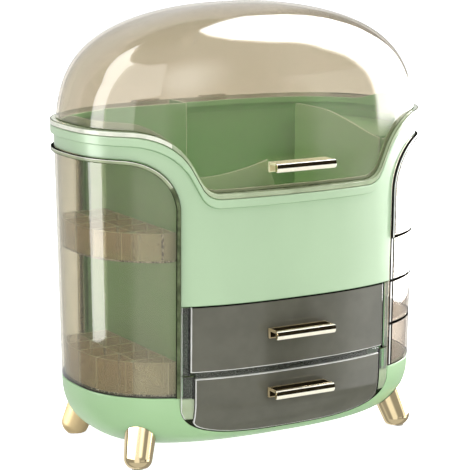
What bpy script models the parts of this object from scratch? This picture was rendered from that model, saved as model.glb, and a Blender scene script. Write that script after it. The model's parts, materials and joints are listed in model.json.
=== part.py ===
"""Dustproof makeup organizer: an oval cosmetics box on four splayed feet, with a
hinged dome lid, a top tray, two drawers, a swing door with lipstick racks on the
left and four swing-out trays on the right.

Frame: metres, +Z up, the floor under the feet is Z = 0, the front faces -Y and
the object's left (as seen from the front) is -X. Lengths below are millimetres
and are multiplied by MM where a mesh is made.
"""

import math

import bmesh
import bpy
from mathutils import Matrix, Vector

MM = 0.001

# ---------------------------------------------------------------- dimensions
GAP = 0.3                 # clearance between touching pieces

PLAN_A = 150.0            # half width of the oval body at Z_MID
PLAN_B = 92.2             # half depth of the oval body at Z_MID
PLAN_N = 2.54             # exponent of the oval
Z_MID = 161.4
DRAFT = 0.0164            # the wall leans out by this much per mm of height

Z_BOTTOM = 12.6           # underside of the base bowl
Z_BASE = 58.6             # rim of the base bowl
BOWL_OFF = 37.0           # how far the bowl's floor lies inside its rim
BOWL_M1, BOWL_M2 = 2.71, 0.61
BOWL_WALL = 2.6

Z_PART = 261.0            # parting plane of lid and body at the ends and rear
DIP = 48.4                # how far the parting line dips across the front
DIP_FLAT = 66.0           # half width of the flat bottom of that dip
DIP_R_LOW, DIP_R_HIGH = 17.0, 48.0
DIP_ANGLE = math.radians(62.0)
RING_H = 7.0              # height of the proud ring under the parting line
RING_OUT = 2.6

Z_PANEL = 130.3           # lower edge of the front panel
X_PANEL = 95.4            # half width of the front panel
Z_DOOR = 243.9            # lower edge of the ring over the side openings
ARCH_X, ARCH_Z = 133.0, 201.9
ARCH_RX, ARCH_RZ = 37.6, 42.0
X_REAR = 104.4            # half width of the rear wall below the ring
SKIN = 2.4                # wall of the green shell

DOME_A, DOME_B, DOME_N = 149.7, 90.0, 2.75
DOME_Z0, DOME_H = 207.2, 146.5
DOME_M1, DOME_M2 = 4.53, 2.052
LID_WALL = 2.0
LID_FLANGE_OUT, LID_FLANGE_H = 2.7, 4.0

CORE_X = 94.5             # outer face of the inner side walls
CORE_T = 2.4
CORE_FRONT_Y = -74.3
PIVOT_X, PIVOT_Y = 108.9, 67.8
BARREL_R, BORE_R, ROD_R = 3.0, 1.55, 1.3
BOSS_R = 2.75

CASE_X, CASE_Z0, CASE_Z1 = 91.7, 22.4, 134.5
CASE_Y0, CASE_Y1, CASE_T = -54.8, 55.2, 1.8
SHELF_Z0, SHELF_Z1 = 73.3, 77.5
CUT_X, CUT_H, CUT_N = 96.4, 35.3, 3.0   # drawer opening in the base bowl

UPPER_X, UPPER_Z0, UPPER_Z1 = 88.2, 78.0, 129.9
LOWER_X, LOWER_Z1 = 84.6, 72.9
DRAWER_BACK = 52.6

TIERS = (94.1, 129.8, 165.6)            # boundaries of the four right trays
TRAY_WALL, TRAY_FLOOR = 1.8, 1.8

HANDLE_HALF, HANDLE_WEB_HALF = 26.7, 25.8
HANDLE_OUT, HANDLE_H = 16.3, 6.8
HANDLE_Z = {"lid": 238.6, "upper": 108.5, "lower": 61.0}
SCREW_X = 17.0

HINGE_X, HINGE_Y, HINGE_Z = 32.0, 100.4, 261.6
HINGE_R, HINGE_BORE, HINGE_PIN = 3.1, 1.45, 1.15

Y_CENTRE = 2.05           # puts the object, handles and hinges included, over the origin

FOOT_X, FOOT_YF, FOOT_YB = 123.4, 57.2, 60.7   # centre of each foot's sole
FOOT_PHI, FOOT_TILT = math.radians(47.0), math.radians(22.8)
FOOT_R0, FOOT_R1 = 11.3, 13.3

# ---------------------------------------------------------------- scene set-up
for old in list(bpy.data.objects):
    bpy.data.objects.remove(old)

PARTS = bpy.data.collections.new("makeup_organizer")
CUTTERS = bpy.data.collections.new("cutters")
bpy.context.scene.collection.children.link(PARTS)
bpy.context.scene.collection.children.link(CUTTERS)


def material(name, colour, rough, metal=0.0, alpha=1.0, transmission=0.0):
    mat = bpy.data.materials.new(name)
    mat.use_nodes = True
    bsdf = mat.node_tree.nodes["Principled BSDF"]
    bsdf.inputs["Base Color"].default_value = (*colour, 1.0)
    bsdf.inputs["Roughness"].default_value = rough
    bsdf.inputs["Metallic"].default_value = metal
    bsdf.inputs["Alpha"].default_value = alpha
    bsdf.inputs["Transmission Weight"].default_value = transmission
    return mat


GREEN = ("green", (0.47, 0.68, 0.46), 0.3)
GREEN_DEEP = ("green_inner", (0.36, 0.53, 0.34), 0.35)
BEIGE = ("beige_clear", (0.72, 0.67, 0.55), 0.08, 0.0, 0.45, 0.8)
RACK = ("rack_clear", (0.55, 0.45, 0.36), 0.12, 0.0, 0.6, 0.6)
SMOKE = ("smoke_clear", (0.16, 0.16, 0.13), 0.08, 0.0, 0.6, 0.6)
CLEAR = ("clear", (0.85, 0.86, 0.82), 0.06, 0.0, 0.4, 0.9)
GOLD = ("pale_gold", (0.85, 0.70, 0.42), 0.18, 1.0)
STEEL = ("steel", (0.6, 0.6, 0.6), 0.3, 1.0)
RUBBER = ("rubber", (0.08, 0.08, 0.08), 0.8)


def give(obj, look):
    name, rest = look[0], look[1:]
    obj.data.materials.clear()
    obj.data.materials.append(material(obj.name + "_" + name, *rest))
    return obj


# ---------------------------------------------------------------- mesh helpers
def put(name, bm, cutter=False):
    """An object from a bmesh whose coordinates are millimetres."""
    bmesh.ops.recalc_face_normals(bm, faces=bm.faces)
    mesh = bpy.data.meshes.new(name)
    bmesh.ops.scale(bm, vec=(MM, MM, MM), verts=bm.verts)
    bm.to_mesh(mesh)
    bm.free()
    obj = bpy.data.objects.new(name, mesh)
    (CUTTERS if cutter else PARTS).objects.link(obj)
    if cutter:
        obj.hide_render = True
        obj.display_type = "WIRE"
    return obj


def add_skin(bm, loops, close=False):
    """Faces between consecutive loops of points. The last loop joins the first
    where close is set, and otherwise both ends are capped."""
    rows = [[bm.verts.new(p) for p in loop] for loop in loops]
    count = len(rows[0])
    pairs = list(zip(rows, rows[1:]))
    if close:
        pairs.append((rows[-1], rows[0]))
    for low, high in pairs:
        for i in range(count):
            j = (i + 1) % count
            bm.faces.new((low[i], low[j], high[j], high[i]))
    if not close:
        bm.faces.new(rows[0])
        bm.faces.new(rows[-1])


def skin(name, loops, close=False, cutter=False):
    bm = bmesh.new()
    add_skin(bm, loops, close)
    return put(name, bm, cutter)


def add_box(bm, low, high):
    size = [h - l for l, h in zip(low, high)]
    mid = [(h + l) / 2 for l, h in zip(low, high)]
    bmesh.ops.create_cube(
        bm, size=1.0, matrix=Matrix.Translation(mid) @ Matrix.Diagonal((*size, 1.0))
    )


def add_cylinder(bm, start, end, radius, sides=16, radius_end=None):
    start, end = Vector(start), Vector(end)
    axis = end - start
    turn = Vector((0, 0, 1)).rotation_difference(axis).to_matrix().to_4x4()
    bmesh.ops.create_cone(
        bm,
        cap_ends=True,
        segments=sides,
        radius1=radius,
        radius2=radius if radius_end is None else radius_end,
        depth=axis.length,
        matrix=Matrix.Translation((start + end) / 2) @ turn,
    )


def boolean(obj, other, operation):
    """The Boolean of obj with other, applied, and other removed."""
    mod = obj.modifiers.new("bool", "BOOLEAN")
    mod.operation = operation
    mod.solver = "EXACT"
    mod.object = other
    bpy.context.view_layer.update()
    graph = bpy.context.evaluated_depsgraph_get()
    mesh = bpy.data.meshes.new_from_object(obj.evaluated_get(graph))
    obj.modifiers.clear()
    old = obj.data
    obj.data = mesh
    mesh.name = obj.name
    bpy.data.meshes.remove(old)
    bpy.data.objects.remove(other)
    return obj


def cut(obj, build):
    bm = bmesh.new()
    build(bm)
    return boolean(obj, put(obj.name + "_cutter", bm, cutter=True), "DIFFERENCE")


def join(obj, build):
    bm = bmesh.new()
    build(bm)
    return boolean(obj, put(obj.name + "_addition", bm, cutter=True), "UNION")


def plate(name, outlines, z0, z1):
    """A flat sheet between z0 and z1. The first outline is its edge, and the
    others are holes."""
    curve = bpy.data.curves.new(name, "CURVE")
    curve.dimensions = "2D"
    curve.fill_mode = "BOTH"
    curve.extrude = (z1 - z0) / 2 * MM
    for outline in outlines:
        spline = curve.splines.new("POLY")
        spline.points.add(len(outline) - 1)
        for point, (x, y) in zip(spline.points, outline):
            point.co = (x * MM, y * MM, 0.0, 1.0)
        spline.use_cyclic_u = True
    helper = bpy.data.objects.new(name + "_outline", curve)
    helper.location.z = (z0 + z1) / 2 * MM
    CUTTERS.objects.link(helper)
    bpy.context.view_layer.update()
    graph = bpy.context.evaluated_depsgraph_get()
    mesh = bpy.data.meshes.new_from_object(helper.evaluated_get(graph))
    bm = bmesh.new()
    bm.from_mesh(mesh)
    bmesh.ops.remove_doubles(bm, verts=bm.verts, dist=1e-6)
    bmesh.ops.recalc_face_normals(bm, faces=bm.faces)
    bm.to_mesh(mesh)
    bm.free()
    mesh.transform(helper.matrix_world)
    mesh.name = name
    obj = bpy.data.objects.new(name, mesh)
    PARTS.objects.link(obj)
    bpy.data.objects.remove(helper)
    return obj


def turned(name, profile, sides, matrix):
    """A body of revolution from (radius, height) points, outer side top to
    bottom, with a Screw modifier that is then applied."""
    mesh = bpy.data.meshes.new(name)
    verts = [(r * MM, 0.0, z * MM) for r, z in profile]
    mesh.from_pydata(verts, [(i, i + 1) for i in range(len(verts) - 1)], [])
    obj = bpy.data.objects.new(name, mesh)
    PARTS.objects.link(obj)
    mod = obj.modifiers.new("turn", "SCREW")
    mod.angle = 2 * math.pi
    mod.steps = mod.render_steps = sides
    mod.use_merge_vertices = True
    mod.merge_threshold = 1e-6
    bpy.context.view_layer.update()
    graph = bpy.context.evaluated_depsgraph_get()
    solid = bpy.data.meshes.new_from_object(obj.evaluated_get(graph))
    obj.modifiers.clear()
    obj.data = solid
    bpy.data.meshes.remove(mesh)
    bm = bmesh.new()
    bm.from_mesh(solid)
    bmesh.ops.remove_doubles(bm, verts=bm.verts, dist=1e-6)
    bmesh.ops.recalc_face_normals(bm, faces=bm.faces)
    bm.to_mesh(solid)
    bm.free()
    solid.transform(matrix)
    solid.shade_smooth()
    return obj


def hang(obj, point):
    """Moves an object's origin to a joint axis and leaves its shape in place."""
    point = Vector(point) * MM
    obj.data.transform(Matrix.Translation(-point))
    obj.location = point
    return obj


# ---------------------------------------------------------------- form rules
def power(value, exponent):
    return math.copysign(abs(value) ** exponent, value)


def shrink(off, z):
    return off - DRAFT * (z - Z_MID)


def body_at(station, off, z):
    """A point of the oval body's wall, off millimetres inside it, at height z.
    A station is ('x', x, side) or ('t', angle)."""
    o = shrink(off, z)
    a, b = PLAN_A - o, PLAN_B - o
    if station[0] == "x":
        x = station[1]
        y = b * max(0.0, 1.0 - (abs(x) / a) ** PLAN_N) ** (1.0 / PLAN_N)
        return x, station[2] * y
    c, s = math.cos(station[1]), math.sin(station[1])
    return a * power(c, 2.0 / PLAN_N), b * power(s, 2.0 / PLAN_N)


def dome_scale(z):
    t = min(1.0, max(0.0, (z - DOME_Z0) / DOME_H))
    return (1.0 - t**DOME_M1) ** (1.0 / DOME_M2)


def dome_at(station, off, z, scale=None):
    s0 = dome_scale(z) if scale is None else scale
    a, b = DOME_A * s0 - off, DOME_B * s0 - off
    if station[0] == "x":
        x = station[1] * (1.0 if s0 > 0.985 else s0)
        y = b * max(0.0, 1.0 - (abs(x) / a) ** DOME_N) ** (1.0 / DOME_N)
        return x, station[2] * y
    c, s = math.cos(station[1]), math.sin(station[1])
    return a * power(c, 2.0 / DOME_N), b * power(s, 2.0 / DOME_N)


def bowl_off(z):
    """How far the base bowl lies inside its rim at height z."""
    t = min(1.0, max(0.0, (Z_BASE - z) / (Z_BASE - Z_BOTTOM)))
    return BOWL_OFF * (1.0 - (1.0 - t**BOWL_M1) ** BOWL_M2)


def bowl_at(station, off, z):
    """A point of the base bowl: the stations close up as the bowl narrows."""
    if station[0] == "t":
        return body_at(station, off, z)
    scale = (PLAN_A - shrink(off, z)) / (PLAN_A - shrink(0.0, Z_BASE))
    return body_at(("x", station[1] * scale, station[2]), off, z)


def dip_profile():
    """Height lost by the parting line, as a function of |x|."""
    sa, ca = math.sin(DIP_ANGLE), math.cos(DIP_ANGLE)
    straight = (DIP - (DIP_R_LOW + DIP_R_HIGH) * (1 - ca)) / sa
    x1 = DIP_FLAT + DIP_R_LOW * sa
    x2 = x1 + straight * ca
    x3 = x2 + DIP_R_HIGH * sa
    rise1 = DIP_R_LOW * (1 - ca)

    def rise(x):
        x = abs(x)
        if x <= DIP_FLAT:
            return 0.0
        if x <= x1:
            return DIP_R_LOW - math.sqrt(DIP_R_LOW**2 - (x - DIP_FLAT) ** 2)
        if x <= x2:
            return rise1 + (x - x1) * sa / ca
        if x < x3:
            return DIP - DIP_R_HIGH + math.sqrt(DIP_R_HIGH**2 - (x3 - x) ** 2)
        return DIP

    return rise


RISE = dip_profile()


def is_front(station):
    return station[2] < 0 if station[0] == "x" else math.sin(station[1]) < -1e-9


def parting(station):
    if not is_front(station):
        return Z_PART
    x = body_at(station, 0.0, Z_PART)[0]
    return Z_PART - DIP + RISE(x)


def collar(station):
    """Height of the body's collar inside the lid: tall at the ends, lower in
    front and lowest at the rear."""
    x = abs(body_at(station, 0.0, Z_PART)[0])
    end = min(1.0, max(0.0, (x - 100.0) / 25.0))
    end = end * end * (3 - 2 * end)
    middle = 6.6 if is_front(station) else 2.0
    return middle + (10.0 - middle) * end


def arch(x):
    """Lower edge of the shell over a side opening, for |x| past the panel."""
    x = abs(x)
    if x >= ARCH_X:
        return Z_DOOR
    u = min(1.0, (ARCH_X - x) / ARCH_RX)
    return ARCH_Z + ARCH_RZ * math.sqrt(max(0.0, 1.0 - u * u))


# x positions of the stations across half of the front
FRONT_INNER = [18.0, 36.0, 52.0, 64.0, 69.0, 74.0, 79.0, 84.0, 89.0, 95.35]
FRONT_OUTER = [95.6, 96.8, 99.0, 102.5, 107.0, 112.5, 119.0, 126.0, 133.0]
END_ANGLES = [24.0, 16.0, 8.0]
REAR_X = [128.0, 118.0, 104.6, 104.3, 96.0, 80.0, 64.0, 48.0, 32.0, 16.0]


def around():
    """Stations of the whole outline, from the front middle round by +X."""
    right_front = [("x", x, -1) for x in FRONT_INNER + FRONT_OUTER]
    right_end = [("t", math.radians(-a)) for a in END_ANGLES]
    rear_end = [("t", math.radians(a)) for a in reversed(END_ANGLES)]
    right_rear = [("x", x, 1) for x in REAR_X]

    def mirror(station):
        if station[0] == "x":
            return ("x", -station[1], station[2])
        return ("t", math.pi - station[1])

    half = right_front + right_end + [("t", 0.0)] + rear_end + right_rear
    return (
        [("x", 0.0, -1)]
        + half
        + [("x", 0.0, 1)]
        + [mirror(s) for s in reversed(half)]
    )


AROUND = around()


def loop_of(place, stations, off, height):
    """A loop of points over stations, where height is a number or a rule."""
    points = []
    for s in stations:
        z = height(s) if callable(height) else height
        o = off(s) if callable(off) else off
        x, y = place(s, o, z)
        points.append((x, y, z))
    return points


# ---------------------------------------------------------------- base
def bowl_levels(steps, depth):
    """Loops down the bowl's wall: depth is its inset from the outer face."""
    loops = []
    for t in steps:
        z = Z_BASE - t * (Z_BASE - Z_BOTTOM)
        lift = depth if t == 1.0 else depth * t
        loops.append(loop_of(bowl_at, AROUND, bowl_off(z) + depth, z + lift))
    return loops


def make_base():
    outer = bowl_levels((1.0, 0.985, 0.93, 0.83, 0.7, 0.52, 0.28, 0.0), 0.0)
    inner = bowl_levels((0.0, 0.4, 0.7, 0.9, 1.0), BOWL_WALL)
    bowl = skin("base_bowl", outer + inner)

    def opening(bm):
        profile = [(-CUT_X, Z_BASE + 5.0)]
        for i in range(21):
            u = math.sin((-1.0 + 2.0 * i / 20) * 1.55)
            z = Z_BASE - CUT_H * (1 - abs(u) ** CUT_N) ** (1 / CUT_N)
            profile.append((u * CUT_X, z))
        profile.append((CUT_X, Z_BASE + 5.0))
        add_skin(
            bm,
            [[(x, -160.0, z) for x, z in profile], [(x, -30.0, z) for x, z in profile]],
        )

    cut(bowl, opening)
    for side in (-1, 1):
        axis = [(side * PIVOT_X, PIVOT_Y, z) for z in (51.0, Z_BASE, 52.2, Z_BASE + 5)]
        join(bowl, lambda b: add_cylinder(b, axis[0], axis[1], BOSS_R, 16))
        cut(bowl, lambda b: add_cylinder(b, axis[2], axis[3], BORE_R, 12))
    return bowl


base_bowl = give(make_base(), GREEN)


def half_outline(side, off, z, x_from, rear_x, count=12):
    """Points of the plan curve from the front at x_from round the end to the
    rear at rear_x, on one side."""
    t0 = math.acos((x_from / (PLAN_A - shrink(off, z))) ** (PLAN_N / 2))
    t1 = math.acos((rear_x / (PLAN_A - shrink(off, z))) ** (PLAN_N / 2))
    points = []
    for i in range(count + 1):
        t = -t0 + (t0 + t1) * i / count
        x, y = body_at(("t", t), off, z)
        points.append((side * x, y))
    return points


def deck_outline():
    right = half_outline(1, BOWL_WALL + 1.1, 57.0, 97.0, 60.0, 16)
    right = [(92.2, -73.8), (95.6, -73.8)] + right
    left = [(-x, y) for x, y in reversed(right)]
    rear = [
        (x, body_at(("x", x, 1), BOWL_WALL + 1.1, 57.0)[1])
        for x in (40.0, 20.0, 0.0, -20.0, -40.0)
    ]
    return right + rear + left + [(-92.2, 61.0), (92.2, 61.0)]


def notch(obj, side, z0, z1):
    """Room for the boss that holds the end of a pivot rod."""
    cut(
        obj,
        lambda b: add_cylinder(
            b,
            (side * PIVOT_X, PIVOT_Y, z0),
            (side * PIVOT_X, PIVOT_Y, z1),
            BOSS_R + 0.4,
            16,
        ),
    )


base_deck = plate("base_deck", [deck_outline()], 55.6, 58.3)
notch(base_deck, -1, 50.0, 64.0)
notch(base_deck, 1, 50.0, 64.0)
give(base_deck, GREEN)


# ---------------------------------------------------------------- feet
def foot_frame(sx, sy):
    y0 = FOOT_YF if sy < 0 else FOOT_YB
    up = Vector(
        (
            -sx * math.cos(FOOT_PHI) * math.sin(FOOT_TILT),
            -sy * math.sin(FOOT_PHI) * math.sin(FOOT_TILT),
            math.cos(FOOT_TILT),
        )
    )
    return Vector((sx * FOOT_X, sy * y0, 0.0)), up


def make_foot(name, sx, sy):
    sole, up = foot_frame(sx, sy)
    length = 44.0
    round_r = 9.5
    profile = [(0.0, length), (FOOT_R1, length)]
    for i in range(7):
        a = math.pi / 2 * i / 6
        profile.append((FOOT_R0 - round_r + round_r * math.cos(a), round_r * (1 - math.sin(a))))
    profile.append((0.0, 0.0))
    turn = Vector((0, 0, 1)).rotation_difference(up).to_matrix().to_4x4()
    foot = turned(name, profile, 20, Matrix.Translation(sole * MM) @ turn)

    def above(bm):
        loops = []
        for t in (1.0, 0.985, 0.93, 0.83, 0.7, 0.52, 0.28, 0.0):
            z = Z_BASE - t * (Z_BASE - Z_BOTTOM)
            loops.append(loop_of(bowl_at, AROUND, bowl_off(z) - 0.45, z - GAP))
        add_skin(bm, loops)

    def below(bm):
        add_box(bm, (sole.x - 30, sole.y - 30, -20.0), (sole.x + 30, sole.y + 30, 1.5))

    def bore(bm):
        add_cylinder(bm, sole + up * 8.0, sole + up * 60.0, 2.3, 12)

    cut(foot, above)
    cut(foot, below)
    cut(foot, bore)
    foot.data.shade_smooth()
    foot.data.set_sharp_from_angle(angle=math.radians(40))
    return give(foot, GOLD)


FEET = {
    "front_left": (-1, -1),
    "front_right": (1, -1),
    "rear_left": (-1, 1),
    "rear_right": (1, 1),
}


def sole_centre(sx, sy):
    """Where the foot's lowest part, trimmed flat, rests."""
    sole, up = foot_frame(sx, sy)
    out = Vector((sx * math.cos(FOOT_PHI), sy * math.sin(FOOT_PHI), 0.0))
    return sole - out * 1.2


for place, (sx, sy) in FEET.items():
    make_foot("foot_" + place, sx, sy)
    centre = sole_centre(sx, sy)
    bm = bmesh.new()
    add_cylinder(bm, (centre.x, centre.y, 0.0), (centre.x, centre.y, 1.2), 4.2, 20, 4.2)
    give(put("foot_pad_" + place, bm), RUBBER)

    sole, up = foot_frame(sx, sy)

    def screw_hole(bm):
        add_cylinder(bm, sole + up * 10.0, sole + up * 48.0, 2.3, 12)

    cut(base_bowl, screw_hole)
    bm = bmesh.new()
    head = sole + up * 38.5
    add_cylinder(bm, sole + up * 12.0, head + up * 0.5, 1.9, 12)
    screw = put("foot_screw_" + place, bm)
    join(screw, lambda b: add_cylinder(b, head, head + up * 2.2, 3.8, 16, 2.9))
    give(screw, STEEL)

# ---------------------------------------------------------------- green shell
RING_LOW = lambda s: parting(s) - RING_H


def shell_bottom(s):
    x = abs(body_at(s, 0.0, Z_DOOR)[0])
    if is_front(s):
        if x < X_PANEL:
            return Z_PANEL
        return arch(x)
    return Z_BASE + GAP if x < X_REAR else Z_DOOR


def shift(rule, dz):
    return lambda s: rule(s) + dz


def lifted(rule, dz):
    return lambda s: rule(s) + collar(s) + dz


shell_loops = [
    loop_of(body_at, AROUND, 0.0, shell_bottom),
    loop_of(body_at, AROUND, 0.0, shift(parting, -RING_H)),
    loop_of(body_at, AROUND, -RING_OUT, shift(parting, -RING_H + 0.9)),
    loop_of(body_at, AROUND, -RING_OUT, shift(parting, -0.6)),
    loop_of(body_at, AROUND, -RING_OUT + 0.6, parting),
    loop_of(dome_at, AROUND, LID_WALL + 0.9, parting),
    loop_of(dome_at, AROUND, LID_WALL + 0.9, lifted(parting, -0.7)),
    loop_of(dome_at, AROUND, LID_WALL + 1.4, lifted(parting, 0.0)),
    loop_of(dome_at, AROUND, LID_WALL + 2.8, lifted(parting, 0.0)),
    loop_of(dome_at, AROUND, LID_WALL + 2.8, shift(parting, -2.4)),
    loop_of(body_at, AROUND, -0.2, shift(parting, -2.4)),
    loop_of(body_at, AROUND, 0.0, shift(parting, -RING_H + 1.6)),
    loop_of(body_at, AROUND, SKIN, shift(parting, -RING_H - 1.2)),
    loop_of(body_at, AROUND, SKIN, shell_bottom),
]
upper_shell = skin("upper_shell", shell_loops, close=True)
for side in (-1, 1):
    axis = [(side * PIVOT_X, PIVOT_Y, z) for z in (244.2, 248.6, 240.0, 247.2)]
    join(upper_shell, lambda b: add_cylinder(b, axis[0], axis[1], 4.6, 16))
    cut(upper_shell, lambda b: add_cylinder(b, axis[2], axis[3], BORE_R, 12))
give(upper_shell, GREEN)


# inner side walls, with a slanted web to the rear wall
def offset_path(path, t):
    """The path moved t to its left, with mitred corners."""
    out = []
    for i, p in enumerate(path):
        p = Vector(p)
        before = (p - Vector(path[i - 1])).normalized() if i else None
        after = (Vector(path[i + 1]) - p).normalized() if i < len(path) - 1 else None
        before = before or after
        after = after or before
        n1 = Vector((-before.y, before.x))
        n2 = Vector((-after.y, after.x))
        n = (n1 + n2).normalized()
        out.append(tuple(p + n * (t / max(0.3, n.dot(n1)))))
    return out


def make_core_wall(name, side):
    outer = [(CORE_X, CORE_FRONT_Y), (CORE_X, 48.5), (101.4, 62.5), (101.4, 71.2)]
    inner = offset_path(outer, CORE_T)
    outline = [(side * x, y) for x, y in outer] + [(side * x, y) for x, y in reversed(inner)]
    return plate(name, [outline], Z_BASE, 244.6)


core_left = make_core_wall("core_wall_left", -1)
core_right = make_core_wall("core_wall_right", 1)
give(core_right, GREEN_DEEP)

RACK_SLOTS = (-20.0, 20.0)
SLOT_Z0, SLOT_Z1 = 173.6, 179.0


def rack_slots(bm):
    for y in RACK_SLOTS:
        add_box(bm, (-CORE_X - 3, y - 6.0, SLOT_Z0), (-CORE_X + CORE_T + 3, y + 6.0, SLOT_Z1))


cut(core_left, rack_slots)
give(core_left, GREEN_DEEP)


def end_deck(name, side):
    outline = [(side * 92.3, -68.5), (side * 99.0, -68.5)]
    outline += half_outline(side, SKIN + 0.9, 244.9, 101.0, 102.0, 16)
    outline += [(side * 101.6, 62.5), (side * 92.3, 47.0)]
    deck = plate(name, [outline], 244.9, 246.9)
    cut(
        deck,
        lambda b: add_cylinder(
            b, (side * PIVOT_X, PIVOT_Y, 240.0), (side * PIVOT_X, PIVOT_Y, 250.0), 5.0, 16
        ),
    )
    return give(deck, GREEN_DEEP)


end_deck("end_deck_left", -1)
end_deck("end_deck_right", 1)

# ---------------------------------------------------------------- top tray
TRAY_Z0, TRAY_Z1 = 134.9, 137.2


def tray_outline():
    xs = [-91.7 + 183.4 * i / 12 for i in range(13)]
    front = [(x, body_at(("x", x, -1), SKIN + 0.7, 136.0)[1]) for x in xs]
    rear = [(x, body_at(("x", x, 1), SKIN + 0.7, 136.0)[1]) for x in reversed(xs)]
    return [(x, max(y, CORE_FRONT_Y - 3.0) if abs(x) > 91 else y) for x, y in front] + rear


give(plate("tray_floor", [tray_outline()], TRAY_Z0, TRAY_Z1), GREEN_DEEP)


def wall_with_top(name, fixed, low, high, t, points, axis):
    """An upright sheet t thick whose top follows points (along, z). It is
    normal to axis and starts at fixed on that axis."""
    outline = [(low, TRAY_Z1 + GAP)] + [(high, TRAY_Z1 + GAP)] + list(reversed(points))
    loops = []
    for f in (fixed, fixed + t):
        if axis == "x":
            loops.append([(f, a, z) for a, z in outline])
        else:
            loops.append([(a, f, z) for a, z in outline])
    return skin(name, loops)


def right_divider_top():
    points = []
    for i in range(15):
        y = -69.0 + 126.8 * i / 14
        u = min(1.0, max(0.0, (y + 72.0) / 92.0))
        z = 246.0 + 14.0 * (u * u * (3 - 2 * u)) ** 0.8
        points.append((y, z))
    points[-1] = (57.8, 256.5)
    points.insert(-1, (56.6, 259.2))
    return points


give(
    wall_with_top("tray_divider_right", 89.5, -69.0, 57.8, 2.0, right_divider_top(), "x"),
    GREEN,
)


def front_divider_top():
    points = []
    for i in range(12):
        x = -91.4 + 86.4 * i / 11
        u = max(0.0, (x + 62.0) / 57.0)
        points.append((x, 224.3 + 9.6 * u**1.8))
    return points


def make_front_divider():
    top = front_divider_top()
    foot_x = -5.0 + (233.9 - TRAY_Z1 - GAP) * 0.33
    return wall_with_top("tray_divider_front", -55.5, -91.4, foot_x, 2.0, top, "y")


give(make_front_divider(), GREEN)


def make_brush_wall():
    path = [(-91.4, 56.0), (-15.5, 56.0), (-15.5, 84.0)]
    outline = path + list(reversed(offset_path(path, 2.0)))
    return plate("tray_divider_rear", [outline], TRAY_Z1 + GAP, 267.0)


give(make_brush_wall(), GREEN)

# ---------------------------------------------------------------- drawer case
CASE_LOOPS = []
for y, t in (
    (CASE_Y1, 0.0),
    (CASE_Y0, 0.0),
    (CASE_Y0, CASE_T),
    (CASE_Y1 - CASE_T, CASE_T),
):
    x, z0, z1 = CASE_X - t, CASE_Z0 + t, CASE_Z1 - t
    CASE_LOOPS.append([(-x, y, z0), (x, y, z0), (x, y, z1), (-x, y, z1)])
give(skin("drawer_case", CASE_LOOPS), SMOKE)


def front_y(x, z, off=0.0):
    base = bowl_off(z) if z < Z_BASE else 0.0
    return body_at(("x", x, -1), base + off, z)[1]


def shelf_outline():
    xs = [-84.2 + 168.4 * i / 12 for i in range(13)]
    front = [(x, front_y(x, 75.4)) for x in xs]
    return front + [(84.2, CASE_Y0 - 1.0), (CASE_X - CASE_T - GAP, CASE_Y0 - 1.0)] + [
        (CASE_X - CASE_T - GAP, CASE_Y1 - CASE_T - GAP),
        (-CASE_X + CASE_T + GAP, CASE_Y1 - CASE_T - GAP),
        (-CASE_X + CASE_T + GAP, CASE_Y0 - 1.0),
        (-84.2, CASE_Y0 - 1.0),
    ]


give(plate("drawer_shelf", [shelf_outline()], SHELF_Z0, SHELF_Z1), CLEAR)


def cut_edge(z):
    """Half width of the bowl's drawer opening at height z."""
    if z >= Z_BASE:
        return CUT_X
    v = (Z_BASE - z) / CUT_H
    return CUT_X * max(0.0, 1 - v**CUT_N) ** (1 / CUT_N)


def make_trim(name, side):
    loops = []
    for z, x_in in (
        (40.5, 85.0),
        (43.5, 85.0),
        (47.0, 85.0),
        (51.0, 85.0),
        (58.6, 85.0),
        (75.4, 85.0),
        (75.5, 88.6),
        (100.0, 88.6),
        (130.0, 88.6),
    ):
        x_out = min(95.0, cut_edge(z) - 0.5)
        row = []
        for x, off in ((x_in, 0.0), ((x_in + x_out) / 2, 0.0), (x_out, 0.0), (x_out, 3.0), (x_in, 3.0)):
            row.append((side * x, front_y(x, z, off), z))
        loops.append(row)
    return give(skin(name, loops), CLEAR)


make_trim("front_trim_left", -1)
make_trim("front_trim_right", 1)


# ---------------------------------------------------------------- drawers
def front_shell(bm, half_x, z_top, bottom, thickness, columns, rows):
    """A drawer front that follows the body's front, as one closed block."""
    loops = []
    for k in range(2 * rows):
        inner = k >= rows
        r = (2 * rows - 1 - k) if inner else k
        loop = []
        for i in range(columns + 1):
            x = -half_x + 2 * half_x * i / columns
            z0 = bottom(x)
            z = z0 + (z_top - z0) * r / (rows - 1)
            loop.append((x, front_y(x, z, thickness if inner else 0.0), z))
        loops.append(loop)
    grid = [[bm.verts.new(p) for p in loop] for loop in loops]
    n = len(grid)
    for k in range(n):
        a, b = grid[k], grid[(k + 1) % n]
        for i in range(columns):
            bm.faces.new((a[i], a[i + 1], b[i + 1], b[i]))
    for i, flip in ((0, False), (columns, True)):
        for r in range(rows - 1):
            quad = [grid[r][i], grid[r + 1][i], grid[n - 2 - r][i], grid[n - 1 - r][i]]
            bm.faces.new(quad if flip else list(reversed(quad)))


def handle_screw_holes(bm, y, z):
    for x in (-SCREW_X, SCREW_X):
        add_cylinder(bm, (x, y - 12.0, z), (x, y + 12.0, z), 1.6, 12)


def box_loop(x, y0, y1, z):
    return [(-x, y0, z), (x, y0, z), (x, y1, z), (-x, y1, z)]


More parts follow.
